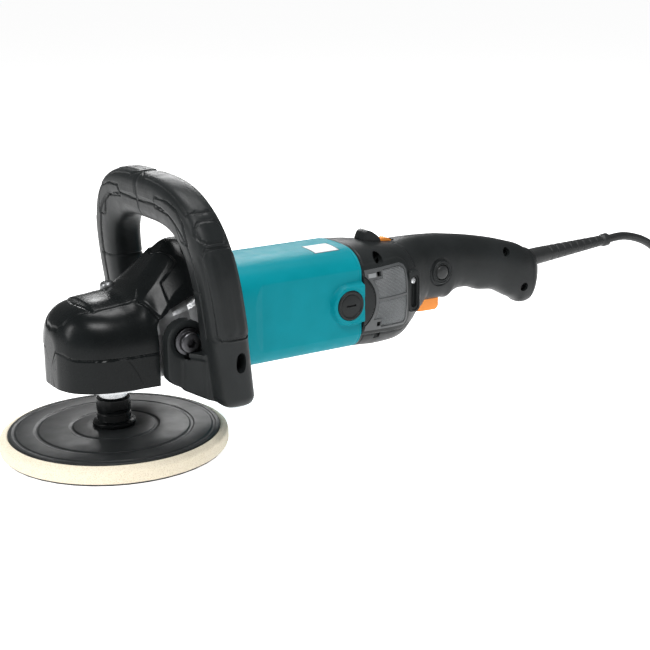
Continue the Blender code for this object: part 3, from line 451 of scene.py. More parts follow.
def line_distance(u, v, line):
    """How far each (u, v) lies from a polyline."""
    best = np.full(np.shape(u), 1e9)
    for (a, b), (c, d) in zip(line, line[1:]):
        du, dv = c - a, d - b
        if du == 0 and dv == 0:
            continue
        t = np.clip(((u - a) * du + (v - b) * dv) / (du * du + dv * dv), 0, 1)
        best = np.minimum(best, np.hypot(u - a - t * du, v - b - t * dv))
    return best


def inside(u, v, outline):
    """Whether each (u, v) lies in a closed outline."""
    result = np.zeros(np.shape(u), bool)
    for (a, b), (c, d) in zip(outline, [*outline[1:], outline[0]]):
        if b == d:
            continue
        crosses = (v > min(b, d)) & (v <= max(b, d))
        result ^= crosses & (u < a + (v - b) * (c - a) / (d - b))
    return result


def signed_distance(u, v, outline):
    """Distance to a closed outline, negative inside."""
    away = line_distance(u, v, [*outline, outline[0]])
    return np.where(inside(u, v, outline), -away, away)


def groove(distance, width, depth):
    return -depth * (1 - smoothstep(np.abs(distance), width * 0.25, width))


def raised(signed, height, slope=1.0):
    return height * (1 - smoothstep(signed, -slope / 2, slope / 2))


def monotone(xs, ys, at):
    """Smooth interpolation that doesn't overshoot (Fritsch and Carlson)."""
    xs, ys = np.array(xs, float), np.array(ys, float)
    steps = np.diff(ys) / np.diff(xs)
    slopes = np.concatenate(([steps[0]], (steps[:-1] + steps[1:]) / 2, [steps[-1]]))
    for k in range(len(steps)):
        if steps[k] == 0:
            slopes[k] = slopes[k + 1] = 0
            continue
        a, b = slopes[k] / steps[k], slopes[k + 1] / steps[k]
        if a < 0 or b < 0 or a * a + b * b > 9:
            size = max(hypot(a, b), 1e-9)
            slopes[k], slopes[k + 1] = 3 * max(a, 0) / size * steps[k], 3 * max(b, 0) / size * steps[k]
    at = np.clip(np.asarray(at, float), xs[0], xs[-1])
    k = np.clip(np.searchsorted(xs, at) - 1, 0, len(xs) - 2)
    h = xs[k + 1] - xs[k]
    t = (at - xs[k]) / h
    return (
        (2 * t**3 - 3 * t**2 + 1) * ys[k]
        + (t**3 - 2 * t**2 + t) * h * slopes[k]
        + (3 * t**2 - 2 * t**3) * ys[k + 1]
        + (t**3 - t**2) * h * slopes[k + 1]
    )


def superellipse(half_w, low, middle, high, low_power, high_power, count):
    """Points of a superellipse, spread evenly by length round it."""
    angles = np.linspace(0, 2 * pi, 1441)[:-1]
    c, s = np.cos(angles), np.sin(angles)
    power = np.where(s >= 0, high_power, low_power)
    reach = np.where(s >= 0, high - middle, middle - low)
    u = np.sign(c) * np.abs(c) ** (2 / power) * half_w
    v = middle + np.sign(s) * np.abs(s) ** (2 / power) * reach
    return even_loop(u, v, count)


def even_loop(u, v, count):
    uu, vv = np.append(u, u[0]), np.append(v, v[0])
    length = np.concatenate(([0], np.cumsum(np.hypot(np.diff(uu), np.diff(vv)))))
    wanted = np.linspace(0, length[-1], count + 1)[:-1]
    return np.interp(wanted, length, uu), np.interp(wanted, length, vv)


def station_rows(stations, xs, count, inset=0.0):
    """Rows of points along X through smoothly interpolated superellipse stations."""
    columns = list(zip(*stations))
    rows = []
    values = [monotone(columns[0], column, xs) for column in columns[1:]]
    for k, x in enumerate(xs):
        half_w, low, middle, high, low_power, high_power = (value[k] for value in values)
        u, v = superellipse(half_w - inset, low + inset, middle, high - inset, low_power, high_power, count)
        rows.append(np.stack([np.full(count, x), u, v], 1))
    return np.array(rows)


def row_normals(rows):
    """Outward normals of rows along X."""
    round_way = np.roll(rows, -1, 1) - np.roll(rows, 1, 1)
    along = np.gradient(rows, axis=0)
    normal = np.cross(round_way, along)
    normal /= np.maximum(np.linalg.norm(normal, axis=2, keepdims=True), 1e-9)
    centre = rows.mean(1, keepdims=True)
    outward = ((rows - centre) * normal).sum(2).mean()
    return normal if outward > 0 else -normal


# ---- cord, coil and plug

CORD_R = 4.0
GUARD_START, GUARD_END, GUARD_Z, GUARD_TILT, GUARD_BEND_X = 421.0, 525.0, 96.0, 3.0, 431.0
COIL_CENTRE = (694.0, -81.0)
COIL_OUTER, COIL_INNER, COIL_TURNS, COIL_START, COIL_Z = 60.8, 33.0, 3.75, radians(70.0), 4.3
COIL_STEPS = 64
CORD_ROUTE = (
    (548, 0, 101.2),
    (574, -0.5, 93.5),
    (597, -1, 78),
    (616, -2, 56),
    (632, -3, 34),
    (648, -4, 16.5),
    (665.5, -6.6, 6.2),
    (684.0, -12.4, COIL_Z),
)
PLUG_HEADING, PLUG_Z = radians(160.0), 12.4
# The plug's distance from the coil, half width and half height.
PLUG_STATIONS = (
    (34, 5, 5),
    (36, 5.4, 5.4),
    (50, 6.5, 6.5),
    (52.5, 9.5, 8.6),
    (55, 11.4, 9.8),
    (62, 13, 11.5),
    (70, 12.6, 11),
    (78, 13.5, 11.9),
    (81.4, 13.5, 11.9),
    (82, 12.9, 11.3),
)


def coil_points():
    """Clockwise: the bottom layer winds in, and the top layer winds back out to the plug."""
    points = []
    total = COIL_TURNS * 2 * pi
    count = int(COIL_TURNS * COIL_STEPS)
    for start, first_r, last_r, rise in (
        (COIL_START, COIL_OUTER, COIL_INNER, 0.0),
        (COIL_START - total, COIL_INNER, COIL_OUTER, PLUG_Z - COIL_Z),
    ):
        for k in range(1, count + 1):
            share = k / (COIL_TURNS * COIL_STEPS)
            angle, r = start - total * share, first_r + (last_r - first_r) * share
            z = COIL_Z + rise * float(smoothstep(share * COIL_TURNS, 0.0, 0.22))
            points.append((COIL_CENTRE[0] + r * cos(angle), COIL_CENTRE[1] + r * sin(angle), z))
    return points


def plug_place():
    out = Vector((sin(PLUG_HEADING), -cos(PLUG_HEADING)))
    tangent = Vector(COIL_CENTRE) - COIL_OUTER * out
    return Matrix.Translation((tangent.x, tangent.y, PLUG_Z)) @ Matrix.Rotation(PLUG_HEADING, 4, "Z")


def smooth_path(points, per_span):
    """A curve through the points (Catmull and Rom)."""
    points = [Vector(p) for p in points]
    path = []
    for k in range(len(points) - 1):
        a, b = points[max(k - 1, 0)], points[k]
        c, d = points[k + 1], points[min(k + 2, len(points) - 1)]
        for step in range(per_span):
            t = step / per_span
            curve = (2 * a - 5 * b + 4 * c - d) * t**2 + (3 * b - a - 3 * c + d) * t**3
            path.append(0.5 * (2 * b + (c - a) * t + curve))
    return [*path, points[-1]]


def guard_exit():
    tilt = radians(GUARD_TILT)
    reach = GUARD_END + 0.3 - GUARD_BEND_X
    return Vector((GUARD_BEND_X + reach * cos(tilt), 0.0, GUARD_Z + reach * sin(tilt)))


def make_cord():
    """One tube from the guard to the plug, with its whole length in its turns."""
    coil = coil_points()
    place = plug_place()
    tail = [place @ Vector((x, 0, 0)) for x in (12.0, 24.0, 33.8)]
    lead = smooth_path([guard_exit(), *CORD_ROUTE, coil[2]], 8)[:-1]
    points = [*lead, *[Vector(p) for p in coil[2:]], *tail]
    curve = bpy.data.curves.new("flex", "CURVE")
    curve.dimensions = "3D"
    curve.bevel_depth = CORD_R * MM
    curve.bevel_resolution = 5
    curve.use_fill_caps = True
    spline = curve.splines.new("POLY")
    spline.points.add(len(points) - 1)
    for point, spot in zip(spline.points, points):
        point.co = (*(spot * MM), 1)
    curve.materials.append(SHADES["rubber"])
    cord = stand_for(new_object("flex", curve), "black_rubber", "power_cord", "cord_coil")
    plug = make_plug(place)
    blades = [make_blade(place, name, side) for name, side in reversed(SIDES)]


def make_plug(place):
    """A moulded plug: ribbed strain relief, waisted grip and flat face."""
    xs = np.concatenate((np.linspace(34, 50, 49), np.linspace(50.4, 82, 60)))
    columns = list(zip(*PLUG_STATIONS))
    half_y, half_z = (monotone(columns[0], column, xs) for column in columns[1:])
    rows = []
    for x, a, b in zip(xs, half_y, half_z):
        ribs = 0.55 * (0.5 + 0.5 * cos(2 * pi * (x - 36) / 3.2)) if x < 50 else 0.0
        ribs += 0.35 * (0.5 + 0.5 * cos(2 * pi * (x - 58) / 2.6)) if 58 < x < 73 else 0.0
        u, v = superellipse(a - ribs, -b + ribs, 0, b - ribs, 2.8, 2.8, 64)
        rows.append([place @ Vector((x, p, q)) for p, q in zip(u, v)])
    return stand_for(skin("plug_shell", rows, "rubber", 40), "black_rubber", "plug_body")


def make_blade(place, name, side):
    y, half_thick = side * 6.35, 0.75
    outline = ((82.2, -3.2), (98.6, -3.2), (100, -1.8), (100, 1.8), (98.6, 3.2), (82.2, 3.2))
    blade = plate(f"blade_{name}", outline, "Y", y - half_thick, y + half_thick, "brass", 0.25)
    cut(blade, plate("blade_hole", ring_outline(95.5, 0, 1.5, 20), "Y", y - 2, y + 2))
    blade.data.transform(Matrix.Scale(MM, 4) @ place @ Matrix.Scale(1 / MM, 4))
    return stand_for(blade, "brass", f"plug_blade_{name}")


def make_cord_guard():
    """A tapered rubber sleeve with staggered relief slots and an end collar."""
    profile = [(0, GUARD_START), (8, GUARD_START), (8, 438)]
    for k in range(9):
        x = 441 + 8.4 * k
        r = 7.8 - 2.45 * k / 8
        profile += [(r, x), (r - 0.08, x + 6.4), (r - 0.75, x + 6.7), (r - 0.75, x + 8.0)]
    profile += [(5.3, 517.5), (6.2, 518.6), (6.2, GUARD_END - 0.7), (5.4, GUARD_END), (0, GUARD_END)]
    guard = turned("guard_sleeve", profile, "rubber", "X", (0, GUARD_Z), 48, 0.5)
    hinge = Matrix.Translation(Vector((GUARD_BEND_X, 0, GUARD_Z)) * MM)
    guard.data.transform(hinge @ Matrix.Rotation(radians(-GUARD_TILT), 4, "Y") @ hinge.inverted())
    stand_for(guard, "black_rubber", "cord_guard")


# ---- pad and spindle

# Half sections of the pad's layers, as (radius, height).
FOAM_PROFILE = (
    *((0, 1.5), (60, 1.5), (88.6, 1.5), (90, 3), (90, 11.2), (89.3, 12.4)),
    *((86, 14.2), (85.2, 14.6), (83.6, 14.6), (83.6, 11.3), (0, 11.3)),
)
PLATE_PROFILE = (
    *((8.6, 11.6), (83.2, 11.6), (83.2, 14.9), (82.6, 15.5), (80, 15.7), (79.2, 15.2)),
    *((77.6, 15.2), (76.8, 15.75), (63.2, 15.9), (62, 15.35), (60.2, 15.35), (59, 16.05)),
    *((35.8, 16.8), (34.6, 16.3), (32.9, 16.3), (31.8, 17), (21.5, 17.9), (17.6, 18.1)),
    (8.6, 18.1),
)
HUB_PROFILE = (
    *((8.6, 18.3), (16.6, 18.3), (17, 18.8), (17, 21.2), (16.4, 21.9), (13.5, 22.8)),
    *((13.5, 27.8), (13.1, 28.3), (13.1, 30.2), (13.5, 30.8), (13.5, 40.2), (12.7, 41), (8.6, 41)),
)


def make_pad():
    foam = turned("foam_ring", FOAM_PROFILE, "foam", steps=240, radius=0.8)
    points = points_of(foam)
    angle = np.arctan2(points[:, 1], points[:, 0])
    ripple = 0.10 * np.sin(23 * angle + 1.1) + 0.08 * np.sin(57 * angle + points[:, 2])
    rim = smoothstep(np.hypot(points[:, 0], points[:, 1]), 84, 88) * (points[:, 2] > 2.2)
    points[:, :2] *= (1 + np.minimum(ripple - 0.2, 0.0) * rim / 90)[:, None]
    put_points(foam, points)
    stand_for(foam, "cream_foam", "foam_layer", body=SPIN)
    disc = turned("pad_plate", PLATE_PROFILE, "plate", steps=180, radius=0.5, closed=True)
    stand_for(disc, "black_plastic", "backing_plate", body=SPIN)
    hub = turned("hub_nut", HUB_PROFILE, "cover", closed=True)
    tools = []
    for side in (-1, 1):
        low, high = span(side, 11.4, 20)
        tools.append(block(f"flat_{side}", (-20, low, 31.5), (20, high, 39)))
    cut(hub, *tools)
    stand_for(hub, "black_plastic", "pad_hub", body=SPIN)


# ---- gear head cover

MOTOR_Z = 95.0
HEAD_SEAM = 83.0
LOCK_SPOT = (8.5, 19.5)
# Stations along X: half width, low, middle, high, and the powers below and above the middle.
HEAD_STATIONS = tuple(
    (x, half_w, 50, HEAD_SEAM, high, 12, power)
    for x, half_w, high, power in (
        (-50, 10, 98, 2.6),
        (-48.6, 17, 104, 2.6),
        (-45, 25.5, 111, 2.6),
        (-40, 31.5, 116, 2.6),
        (-32, 37.5, 120, 2.6),
        (-20, 42.5, 122, 2.6),
        (-5, 45.5, 123, 2.6),
        (10, 46.5, 126, 2.5),
        (23, 47.5, 138, 2.1),
        (37, 48, 152, 1.8),
        (49, 49, 161.5, 1.7),
        (60, 50, 163, 1.7),
        (81, 51.5, 156.5, 1.8),
        (88, 51.5, 153, 1.8),
    )
)
SHIELD = ((-10, 0), (-10, 60), (20, 60), (27, 46), (32.6, 39.4), (32.4, 27.2), (48, 22.7), (38, 3.6), (37, 0))
COVER_CUT = (
    *((19.4, 50), (19.4, 103), (20.2, 106), (22.5, 108.4), (34, 115.2), (51, 122)),
    *((60, 125), (95, 127), (95, 50)),
)


def both_sides(half):
    """A closed outline from its half with y >= 0, mirrored in y."""
    return [*half, *[(u, -v) for u, v in reversed(half)]]


def head_rows(stations, xs, count, inset=0.0):
    """The nose is interpolated over the root of its depth, so that it closes in a round end."""
    start = stations[0][0]
    eased = [((x - start + 0.02) ** 0.5, *rest) for x, *rest in stations]
    depth = np.sqrt(xs - start + 0.02)
    rows = station_rows(eased, depth, count, inset)
    rows[:, :, 0] = xs[:, None]
    return rows


def cut_facet(rows, anchor, normal, depth, where):
    """Flattens what stands above a plane that lies depth below the anchor."""
    normal = np.array(normal, float)
    normal /= np.linalg.norm(normal)
    above = np.maximum((rows - np.array(anchor)) @ normal + depth, 0) * where
    return rows - above[..., None] * normal


def head_cover_features(rows):
    x, y, z = rows[..., 0], rows[..., 1], rows[..., 2]
    side = np.abs(y)
    top = smoothstep(z, 100, 106)
    hump = smoothstep(x, 14, 20)
    band = both_sides([(-23.5, 0), (-23.5, 24.4), (6, 25.5), (12, 25), (16, 18), (18, 0)])
    offset = raised(signed_distance(x, y, band), 0.8, 1.3) * top
    panel = both_sides([(-30, 0), (-28.6, 10), (-24.6, 22.6), (-44.5, 15.2), (-47.5, 10), (-48.5, 0)])
    offset += groove(signed_distance(x, y, panel), 0.9, 0.55) * smoothstep(z, 97, 101)
    offset += groove(line_distance(x, side, [(12.7, 29), (23, 42.5)]), 1.4, 1.2) * top
    behind = signed_distance(x, y, both_sides(SHIELD))
    offset += -1.3 * smoothstep(behind, -0.7, 0.7) * hump * smoothstep(z, 104, 110)
    seam = z - (84 + 3.5 * np.exp(-(((x + 50) / 5) ** 2)))
    offset += groove(seam, 1.1, 0.8) - 0.35 * smoothstep(-seam, 0, 1.5)
    front = x < -40
    hook = line_distance(y, z, [(0.5, 82), (0.5, 73.5), (-9.5, 73.5), (-9.5, 82)])
    offset += groove(hook, 0.9, 0.5) * front
    arc = line_distance(x, z, [(-5, 82), (-2, 78), (2, 71), (5, 64), (6, 56)])
    offset += groove(arc, 1.1, 0.4) * (side > 30)
    return offset


def make_head_cover():
    xs = np.concatenate((-50 + np.linspace(0, 3.2, 30) ** 2, np.linspace(-39.2, 88, 176)))
    rows = head_rows(HEAD_STATIONS, xs, 420)
    hump = smoothstep(rows[..., 0], 12, 24)
    facets = [((37, 0, 152), (-0.7, 0, 0.72), 0.9), ((60, 0, 163), (0.1, 0, 1.0), 1.2)]
    for side in (-1, 1):
        facets += [
            ((46, side * 24, 146.5), (-0.3, side * 0.78, 0.62), 1.4),
            ((64, side * 25, 148.5), (0.15, side * 0.66, 0.76), 1.6),
            ((40, side * 46.5, 106), (-0.05, side * 0.97, 0.22), 0.8),
        ]
    for anchor, normal, depth in facets:
        rows = cut_facet(rows, anchor, normal, depth, hump)
    rows = rows + row_normals(rows) * head_cover_features(rows)[..., None]
    cover = skin("cover_shell", rows, "cover")
    inner = [(v[0] + 3 if v[0] < -25 else v[0], *v[1:]) for v in HEAD_STATIONS[:-2]]
    inner.append((84.5, 51.5, 50, HEAD_SEAM, 155.0, 12, 1.8))
    inner_xs = np.concatenate((-47 + np.linspace(0, 3, 14) ** 2, np.linspace(-37.5, 84.5, 50)))
    cut(
        cover,
        skin("hollow", head_rows(inner, inner_xs, 120, 3.2)),
        block("below", (-60, -60, 40), (95, 60, 58)),
        plate("behind", COVER_CUT, "Y", -60, 60),
        drum("collar", "X", (0, MOTOR_Z), 47.2, 80, 95, 96),
        drum("button_hole", "Z", LOCK_SPOT, 6.5, 100, 140, 48),
    )
    stand_for(cover, "black_plastic", "head_cover")


def make_shaft_lock():
    pin = ((0, 97), (2.6, 97), (3, 97.6), (3, 118.8), (6, 118.8), (6, 125.6), (5.4, 127.2))
    pin += ((4, 128.2), (2, 128.6), (0, 128.6))
    button = turned("lock_pin", pin, "zinc", centre=LOCK_SPOT, steps=64)
    stand_for(button, "steel", "shaft_lock_button", body="shaft_lock")


# ---- loop handle

LOOP_HALF_W, LOOP_HEIGHT, LOOP_POWER = 84.0, 86.5, 3.15
LOOP_X, LOOP_Z, LOOP_RAKE = 54.0, 110.0, 0.13
LOOP_HALF_X, LOOP_HALF_U = 15.0, 18.5
LEG_DROP = 63.0
BOLT = (36.5, 94.0)
FOOT_ARCH_R = 16.5


def loop_line():
    """The loop's centreline as (y, height) points and their distances along it."""
    angles = np.linspace(0, pi, 1200)
    c, s = np.cos(angles), np.abs(np.sin(angles))
    y = -LOOP_HALF_W * np.sign(c) * np.abs(c) ** (2 / LOOP_POWER)
    height = LOOP_HEIGHT * s ** (2 / LOOP_POWER)
    drop = np.linspace(LEG_DROP, 0.5, 60)
    foot = LOOP_HALF_W - 4 * drop / LEG_DROP
    y = np.concatenate((-foot, y, foot[::-1]))
    height = np.concatenate((-drop, height, -drop[::-1]))
    length = np.concatenate(([0], np.cumsum(np.hypot(np.diff(y), np.diff(height)))))
    return y, height, length


def loop_frames(count):
    """Evenly spaced centre points with their unit outward directions, in (y, height)."""
    y, height, length = loop_line()
    wanted = np.linspace(0, length[-1], count)
    cy, ch = np.interp(wanted, length, y), np.interp(wanted, length, height)
    ty, th = np.gradient(cy), np.gradient(ch)
    for _ in range(3):
        ty = np.convolve(np.pad(ty, 2, "edge"), np.ones(5) / 5, "valid")
        th = np.convolve(np.pad(th, 2, "edge"), np.ones(5) / 5, "valid")
    size = np.hypot(ty, th)
    return wanted, cy, ch, -th / size, ty / size


def loop_skin():
    """The loop's plain body; its two ends close in over the last few millimetres."""
    at, cy, ch, oy, oh = loop_frames(220)
    total, taper = at[-1], 7.0
    rows = []
    for k in range(len(at)):
        end = min(at[k], total - at[k])
        share = 1 - 0.3 * (1 - min(end / taper, 1.0) ** 0.5)
        u, v = superellipse(LOOP_HALF_U * share, -LOOP_HALF_X * share, 0, LOOP_HALF_X * share, 3.2, 3.2, 96)
        h = ch[k] + u * oh[k]
        rows.append(np.stack([LOOP_X - LOOP_RAKE * h + v, cy[k] + u * oy[k], LOOP_Z + h], 1))
    return skin("loop_shell", rows, "black")


def loop_places(points):
    """For each point: distance along the loop, outward offset u, and front-to-back offset v."""
    at, cy, ch, oy, oh = loop_frames(500)
    y, h = points[:, 1], points[:, 2] - LOOP_Z
    nearest = np.empty(len(points), int)
    for start in range(0, len(points), 8000):
        part = slice(start, start + 8000)
        apart = (y[part, None] - cy) ** 2 + (h[part, None] - ch) ** 2
        nearest[part] = apart.argmin(1)
    u = (y - cy[nearest]) * oy[nearest] + (h - ch[nearest]) * oh[nearest]
    v = points[:, 0] - (LOOP_X - LOOP_RAKE * h)
    return at[nearest], u, v


def loop_features(points):
    """Overmoulded grip, its parting line, thumb pads and ribs, the same on both sides."""
    along, u, v = loop_places(points)
    total = loop_line()[2][-1]
    end = np.minimum(along, total - along)
    y, z = np.abs(points[:, 1]), points[:, 2]
    front = smoothstep(-v, 9, 12)
    outer = smoothstep(u, 6, 12)
    offset = np.zeros(len(points))
    parting = [(54, 0.5), (90, 0.5), (130, 1.5), (168, 0.5), (196, -1.5), (206, -2)]
    offset += groove(line_distance(end, u, parting), 1.3, 0.9) * smoothstep(np.abs(v), 9, 12)
    cover = smoothstep(end, 54, 55.5) * smoothstep(-end, -206, -204.5)
    offset += 0.35 * smoothstep(u, 0.5, 2.5) * cover
    panel = [(58, -10.5), (58, 10.5), (60, 12.2), (114, 12.2)]
    panel += [(117, 10), (117, -10), (114, -12.2), (60, -12.2)]
    to_panel = signed_distance(end, v, panel)
    flutes = 0.35 * np.cos(2 * pi * v / 8.2) * smoothstep(-to_panel, 1.5, 4)
    offset += (raised(to_panel, 0.75, 1.2) + groove(to_panel - 1.0, 1.1, 0.8) + flutes) * outer
    thumb = [(121, -6), (121, 6), (123.5, 10.5), (127.5, 12), (131.5, 10.5), (134, 6)]
    thumb += [(134, -6), (131.5, -10.5), (127.5, -12), (123.5, -10.5)]
    pad = signed_distance(end, v, thumb)
    offset += (groove(pad, 1.2, 0.9) - 0.5 * smoothstep(-pad, 0, 2)) * outer
    upper = [(141, -11), (139.5, 0), (141, 11), (196, 11), (204, 7), (204, -7), (196, -11)]
    to_upper = signed_distance(end, v, upper)
    offset += (raised(to_upper, 0.5, 1.2) + groove(to_upper - 0.8, 1.0, 0.6)) * outer
    corner = [(76.5, 172), (72.5, 187), (64, 196), (52, 200), (33, 201)]
    corner += [(30.5, 193.5), (53, 191), (62, 185), (67, 173)]
    to_corner = signed_distance(y, z, corner)
    offset += (raised(to_corner, 0.45, 1.0) + groove(to_corner - 0.6, 1.0, 0.7)) * front
    ribs = smoothstep(end, 166, 168) * smoothstep(-end, -200, -198) * (points[:, 1] > 0)
    wave = 0.5 + 0.5 * np.cos(2 * pi * v / 5.0)
    offset += 0.55 * wave * ribs * smoothstep(u, 14, 17) * smoothstep(-np.abs(v), -9, -7.5)
    knurl = np.cos(2 * pi * (points[:, 1] + z) / 3.2) * np.cos(2 * pi * (points[:, 1] - z) / 3.2)
    offset += 0.16 * knurl * front * smoothstep(-y, -27, -25.5) * smoothstep(-np.abs(u), -10, -8.5)
    offset += groove(z - 136.0, 1.0, 0.7) * (u < 4) * (end < 120)
    offset += groove(along - total / 2, 0.9, 0.5)
    return offset


def foot_tools(side):
    """The foot's plate, its arch round the bolt, and the web out to the leg."""
    r = FOOT_ARCH_R
    arch = arc(*BOLT, r, 0, pi, 41)
    outline = [*arch, (BOLT[0] - r, 66), (24, 61.5), (33, 56.5), (50, 51), (66, 48.5), (66, BOLT[1])]
    parts = [plate("foot", outline, "Y", *span(side, 49.5, 60))]
    for piece, bottom, top, front in (("web", 46.0, 84.0, 0.0), ("shelf", 83.0, 86.6, 1.4)):
        plan = [(31.5, 58), (33.0, 62), (40.5 - front, 76), (42 - front, 80), (68, 80), (68, 58)]
        plan = [(x - front * (y < 70), side * y) for x, y in plan]
        parts.append(plate(piece, plan, "Z", bottom, top))
    below = ((20, 62), (33, 55), (50, 48.5), (80, 46.8), (80, 30), (20, 30))
    cut(parts[1], plate("below", below, "Y", *span(side, 57, 81)))
    return parts


def foot_recesses(side):
    """Two stepped pockets in the foot, round the bolt's head."""
    rings = ((13.4, 59.2, 66), (10.6, 57.2, 62))
    return [drum("pocket", "Y", BOLT, r, *span(side, start, end), 64) for r, start, end in rings]


def make_loop_handle():
    loop = loop_skin()
    carve(loop, "UNION", *foot_tools(-1), *foot_tools(1))
    cut(loop, *foot_recesses(-1), *foot_recesses(1))
    remesh = loop.modifiers.new("even", "REMESH")
    remesh.mode = "VOXEL"
    remesh.voxel_size = 0.95 * MM
    smooth = loop.modifiers.new("soften", "SMOOTH")
    smooth.iterations = 3
    smooth.factor = 0.5
    applied(loop)
    points = points_of(loop)
    put_points(loop, points + points_of(loop, "normal") * loop_features(points)[:, None])
    tools = []
    u, v = superellipse(4.2, -8, 0, 8, 2.4, 2.4, 48)
    for side in (-1, 1):
        tools.append(drum(f"hole_{side}", "Y", BOLT, 4.4, *span(side, 40, 70), 40))
        tools.append(plate(f"oval_{side}", list(zip(60 + u, 83 + v)), "Y", *span(side, 88, 112)))
    cut(loop, *tools)
    loop.data.materials.clear()
    loop.data.materials.append(SHADES["grip"])
    stand_for(loop, "black_plastic", "loop_handle")
    head = ((0, 34), (4, 34), (4, 60.2), (10.4, 60.2), (10.4, 61.6), (8, 61.8), (8, 66), (7, 66.9), (0, 66.9))
    for name, side in SIDES:
        bolt = turned(f"bolt_{name}", [(r, side * h) for r, h in head], "dark_steel", "Y", BOLT, 64)
        socket = plate(f"socket_{name}", ring_outline(*BOLT, 4.0, 6), "Y", *span(side, 62.4, 70))
        cut(bolt, socket)
        stand_for(bolt, "dark_steel", f"loop_bolt_{name}")


# ---- motor housing

MOTOR_START, MOTOR_END = 88.4, 208.0
MOTOR_SHAPE = (45.0, 51.0, MOTOR_Z, 139.0, 3.4, 3.4)
BRUSH_X, BOSS_R, BOSS_HALF_W = 194.0, 15.0, 47.4
MOTOR_BORE = ((0, 80), (41, 80), (41, 204.6), (10, 204.6), (10, 213.2), (13.3, 213.2), (13.3, 230), (0, 230))
CAP_PROFILE = (
    *((0, 41.4), (12.4, 41.4), (12.4, 47.8), (11.8, 48.4), (10.6, 48.4), (10, 47.7)),
    *((9.3, 47.7), (8.8, 48.1), (0, 48.3)),
)


def brush_boss_outline():
    bend = arc(BRUSH_X, MOTOR_Z, BOSS_R, pi / 2, 3 * pi / 2, 40)
    return [*bend, (MOTOR_END + 5, MOTOR_Z - BOSS_R), (MOTOR_END + 5, MOTOR_Z + BOSS_R)]


def make_motor_housing():
    xs, count = np.linspace(MOTOR_START, MOTOR_END, 150), 400
    u, v = superellipse(*MOTOR_SHAPE, count)
    rows = np.stack([np.stack([np.full(count, x), u, v], 1) for x in xs])
    rows[0, :, 1] *= 0.992
    rows[-1, :, 1] *= 0.99
    x, y, z = rows[..., 0], rows[..., 1], rows[..., 2]
    side = np.abs(y)
    flat = 42.0 + 5.5 * (1 - np.clip((x - 99) / 14.0, 0, 1))
    side = np.where(side > flat, flat + 0.12 * (side - flat), side)
    away = signed_distance(x, z, brush_boss_outline())
    boss = 1 - smoothstep(away, 0.0, 3.0)
    side = np.where((side > 36) & (boss > 0), side + (BOSS_HALF_W - side) * boss, side)
    rows[..., 1] = np.sign(y) * side
    ring = groove(np.hypot(x - BRUSH_X, z - MOTOR_Z) - 14.6, 0.8, 0.35) * (side > 40)
    edge = groove(x - MOTOR_END + 2.0, 1.0, 0.45) * (away > 3)
    rows = rows + row_normals(rows) * (ring + edge)[..., None]
    housing = skin("motor_shell", rows, "teal", 50)
    tools = [turned("bore", MOTOR_BORE, None, "X", (0, MOTOR_Z), 96, 0.01)]
    for sign in (-1, 1):
        tools.append(drum(f"cap_{sign}", "Y", (BRUSH_X, MOTOR_Z), 12.8, *span(sign, 30, 60), 64))
    cut(housing, *tools)
    stand_for(housing, "teal_plastic", "motor_housing")


def make_brush_caps():
    for name, side in SIDES:
        face = [(r, side * h) for r, h in CAP_PROFILE]
        cap = turned(f"cap_{name}", face, "black", "Y", (BRUSH_X, MOTOR_Z), 80, 0.25)
        low, high = span(side, 46.9, 50)
        slot = block("slot", (BRUSH_X - 4.6, low, MOTOR_Z - 0.8), (BRUSH_X + 4.6, high, MOTOR_Z + 0.8))
        cut(cap, slot)
        stand_for(cap, "black_plastic", f"brush_cap_{name}")


def motor_top(y):
    half_w, _, middle, high, _, power = MOTOR_SHAPE
    return middle + (high - middle) * (1 - (np.abs(y) / half_w) ** power) ** (1 / power)


def grid_mesh(name, places, material):
    """A sheet through a grid of points; squares that touch a None are left out."""
    bm = bmesh.new()
    verts = {}
    for i, j in np.ndindex(len(places) - 1, len(places[0]) - 1):
        corners = ((i, j), (i + 1, j), (i + 1, j + 1), (i, j + 1))
        if any(places[a][b] is None for a, b in corners):
            continue
        for a, b in corners:
            if (a, b) not in verts:
                verts[a, b] = bm.verts.new(places[a][b])
        bm.faces.new([verts[corner] for corner in corners])
    return finished(name, bm, material)


def thickened(obj, thickness):
    thick = obj.modifiers.new("thick", "SOLIDIFY")
    thick.thickness = thickness * MM
    return applied(obj)


def make_label():
    """A blank white film label with a fine grey border, on the housing's top."""
    xs, ys = np.linspace(173.6, 198.0, 14), np.linspace(-25.0, -3.4, 30)
    layers = (("label_border", 0.08, 0.0, "screen"), ("label_film", 0.16, 0.7, "label"))
    for name, lift, inset, shade in layers:
        across, along = (np.clip(v, v[0] + inset, v[-1] - inset) for v in (ys, xs))
        places = [[(x, y, float(motor_top(y)) + lift) for y in across] for x in along]
        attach(thickened(grid_mesh(name, places, shade), 0.06), BODY)


# ---- rear handle

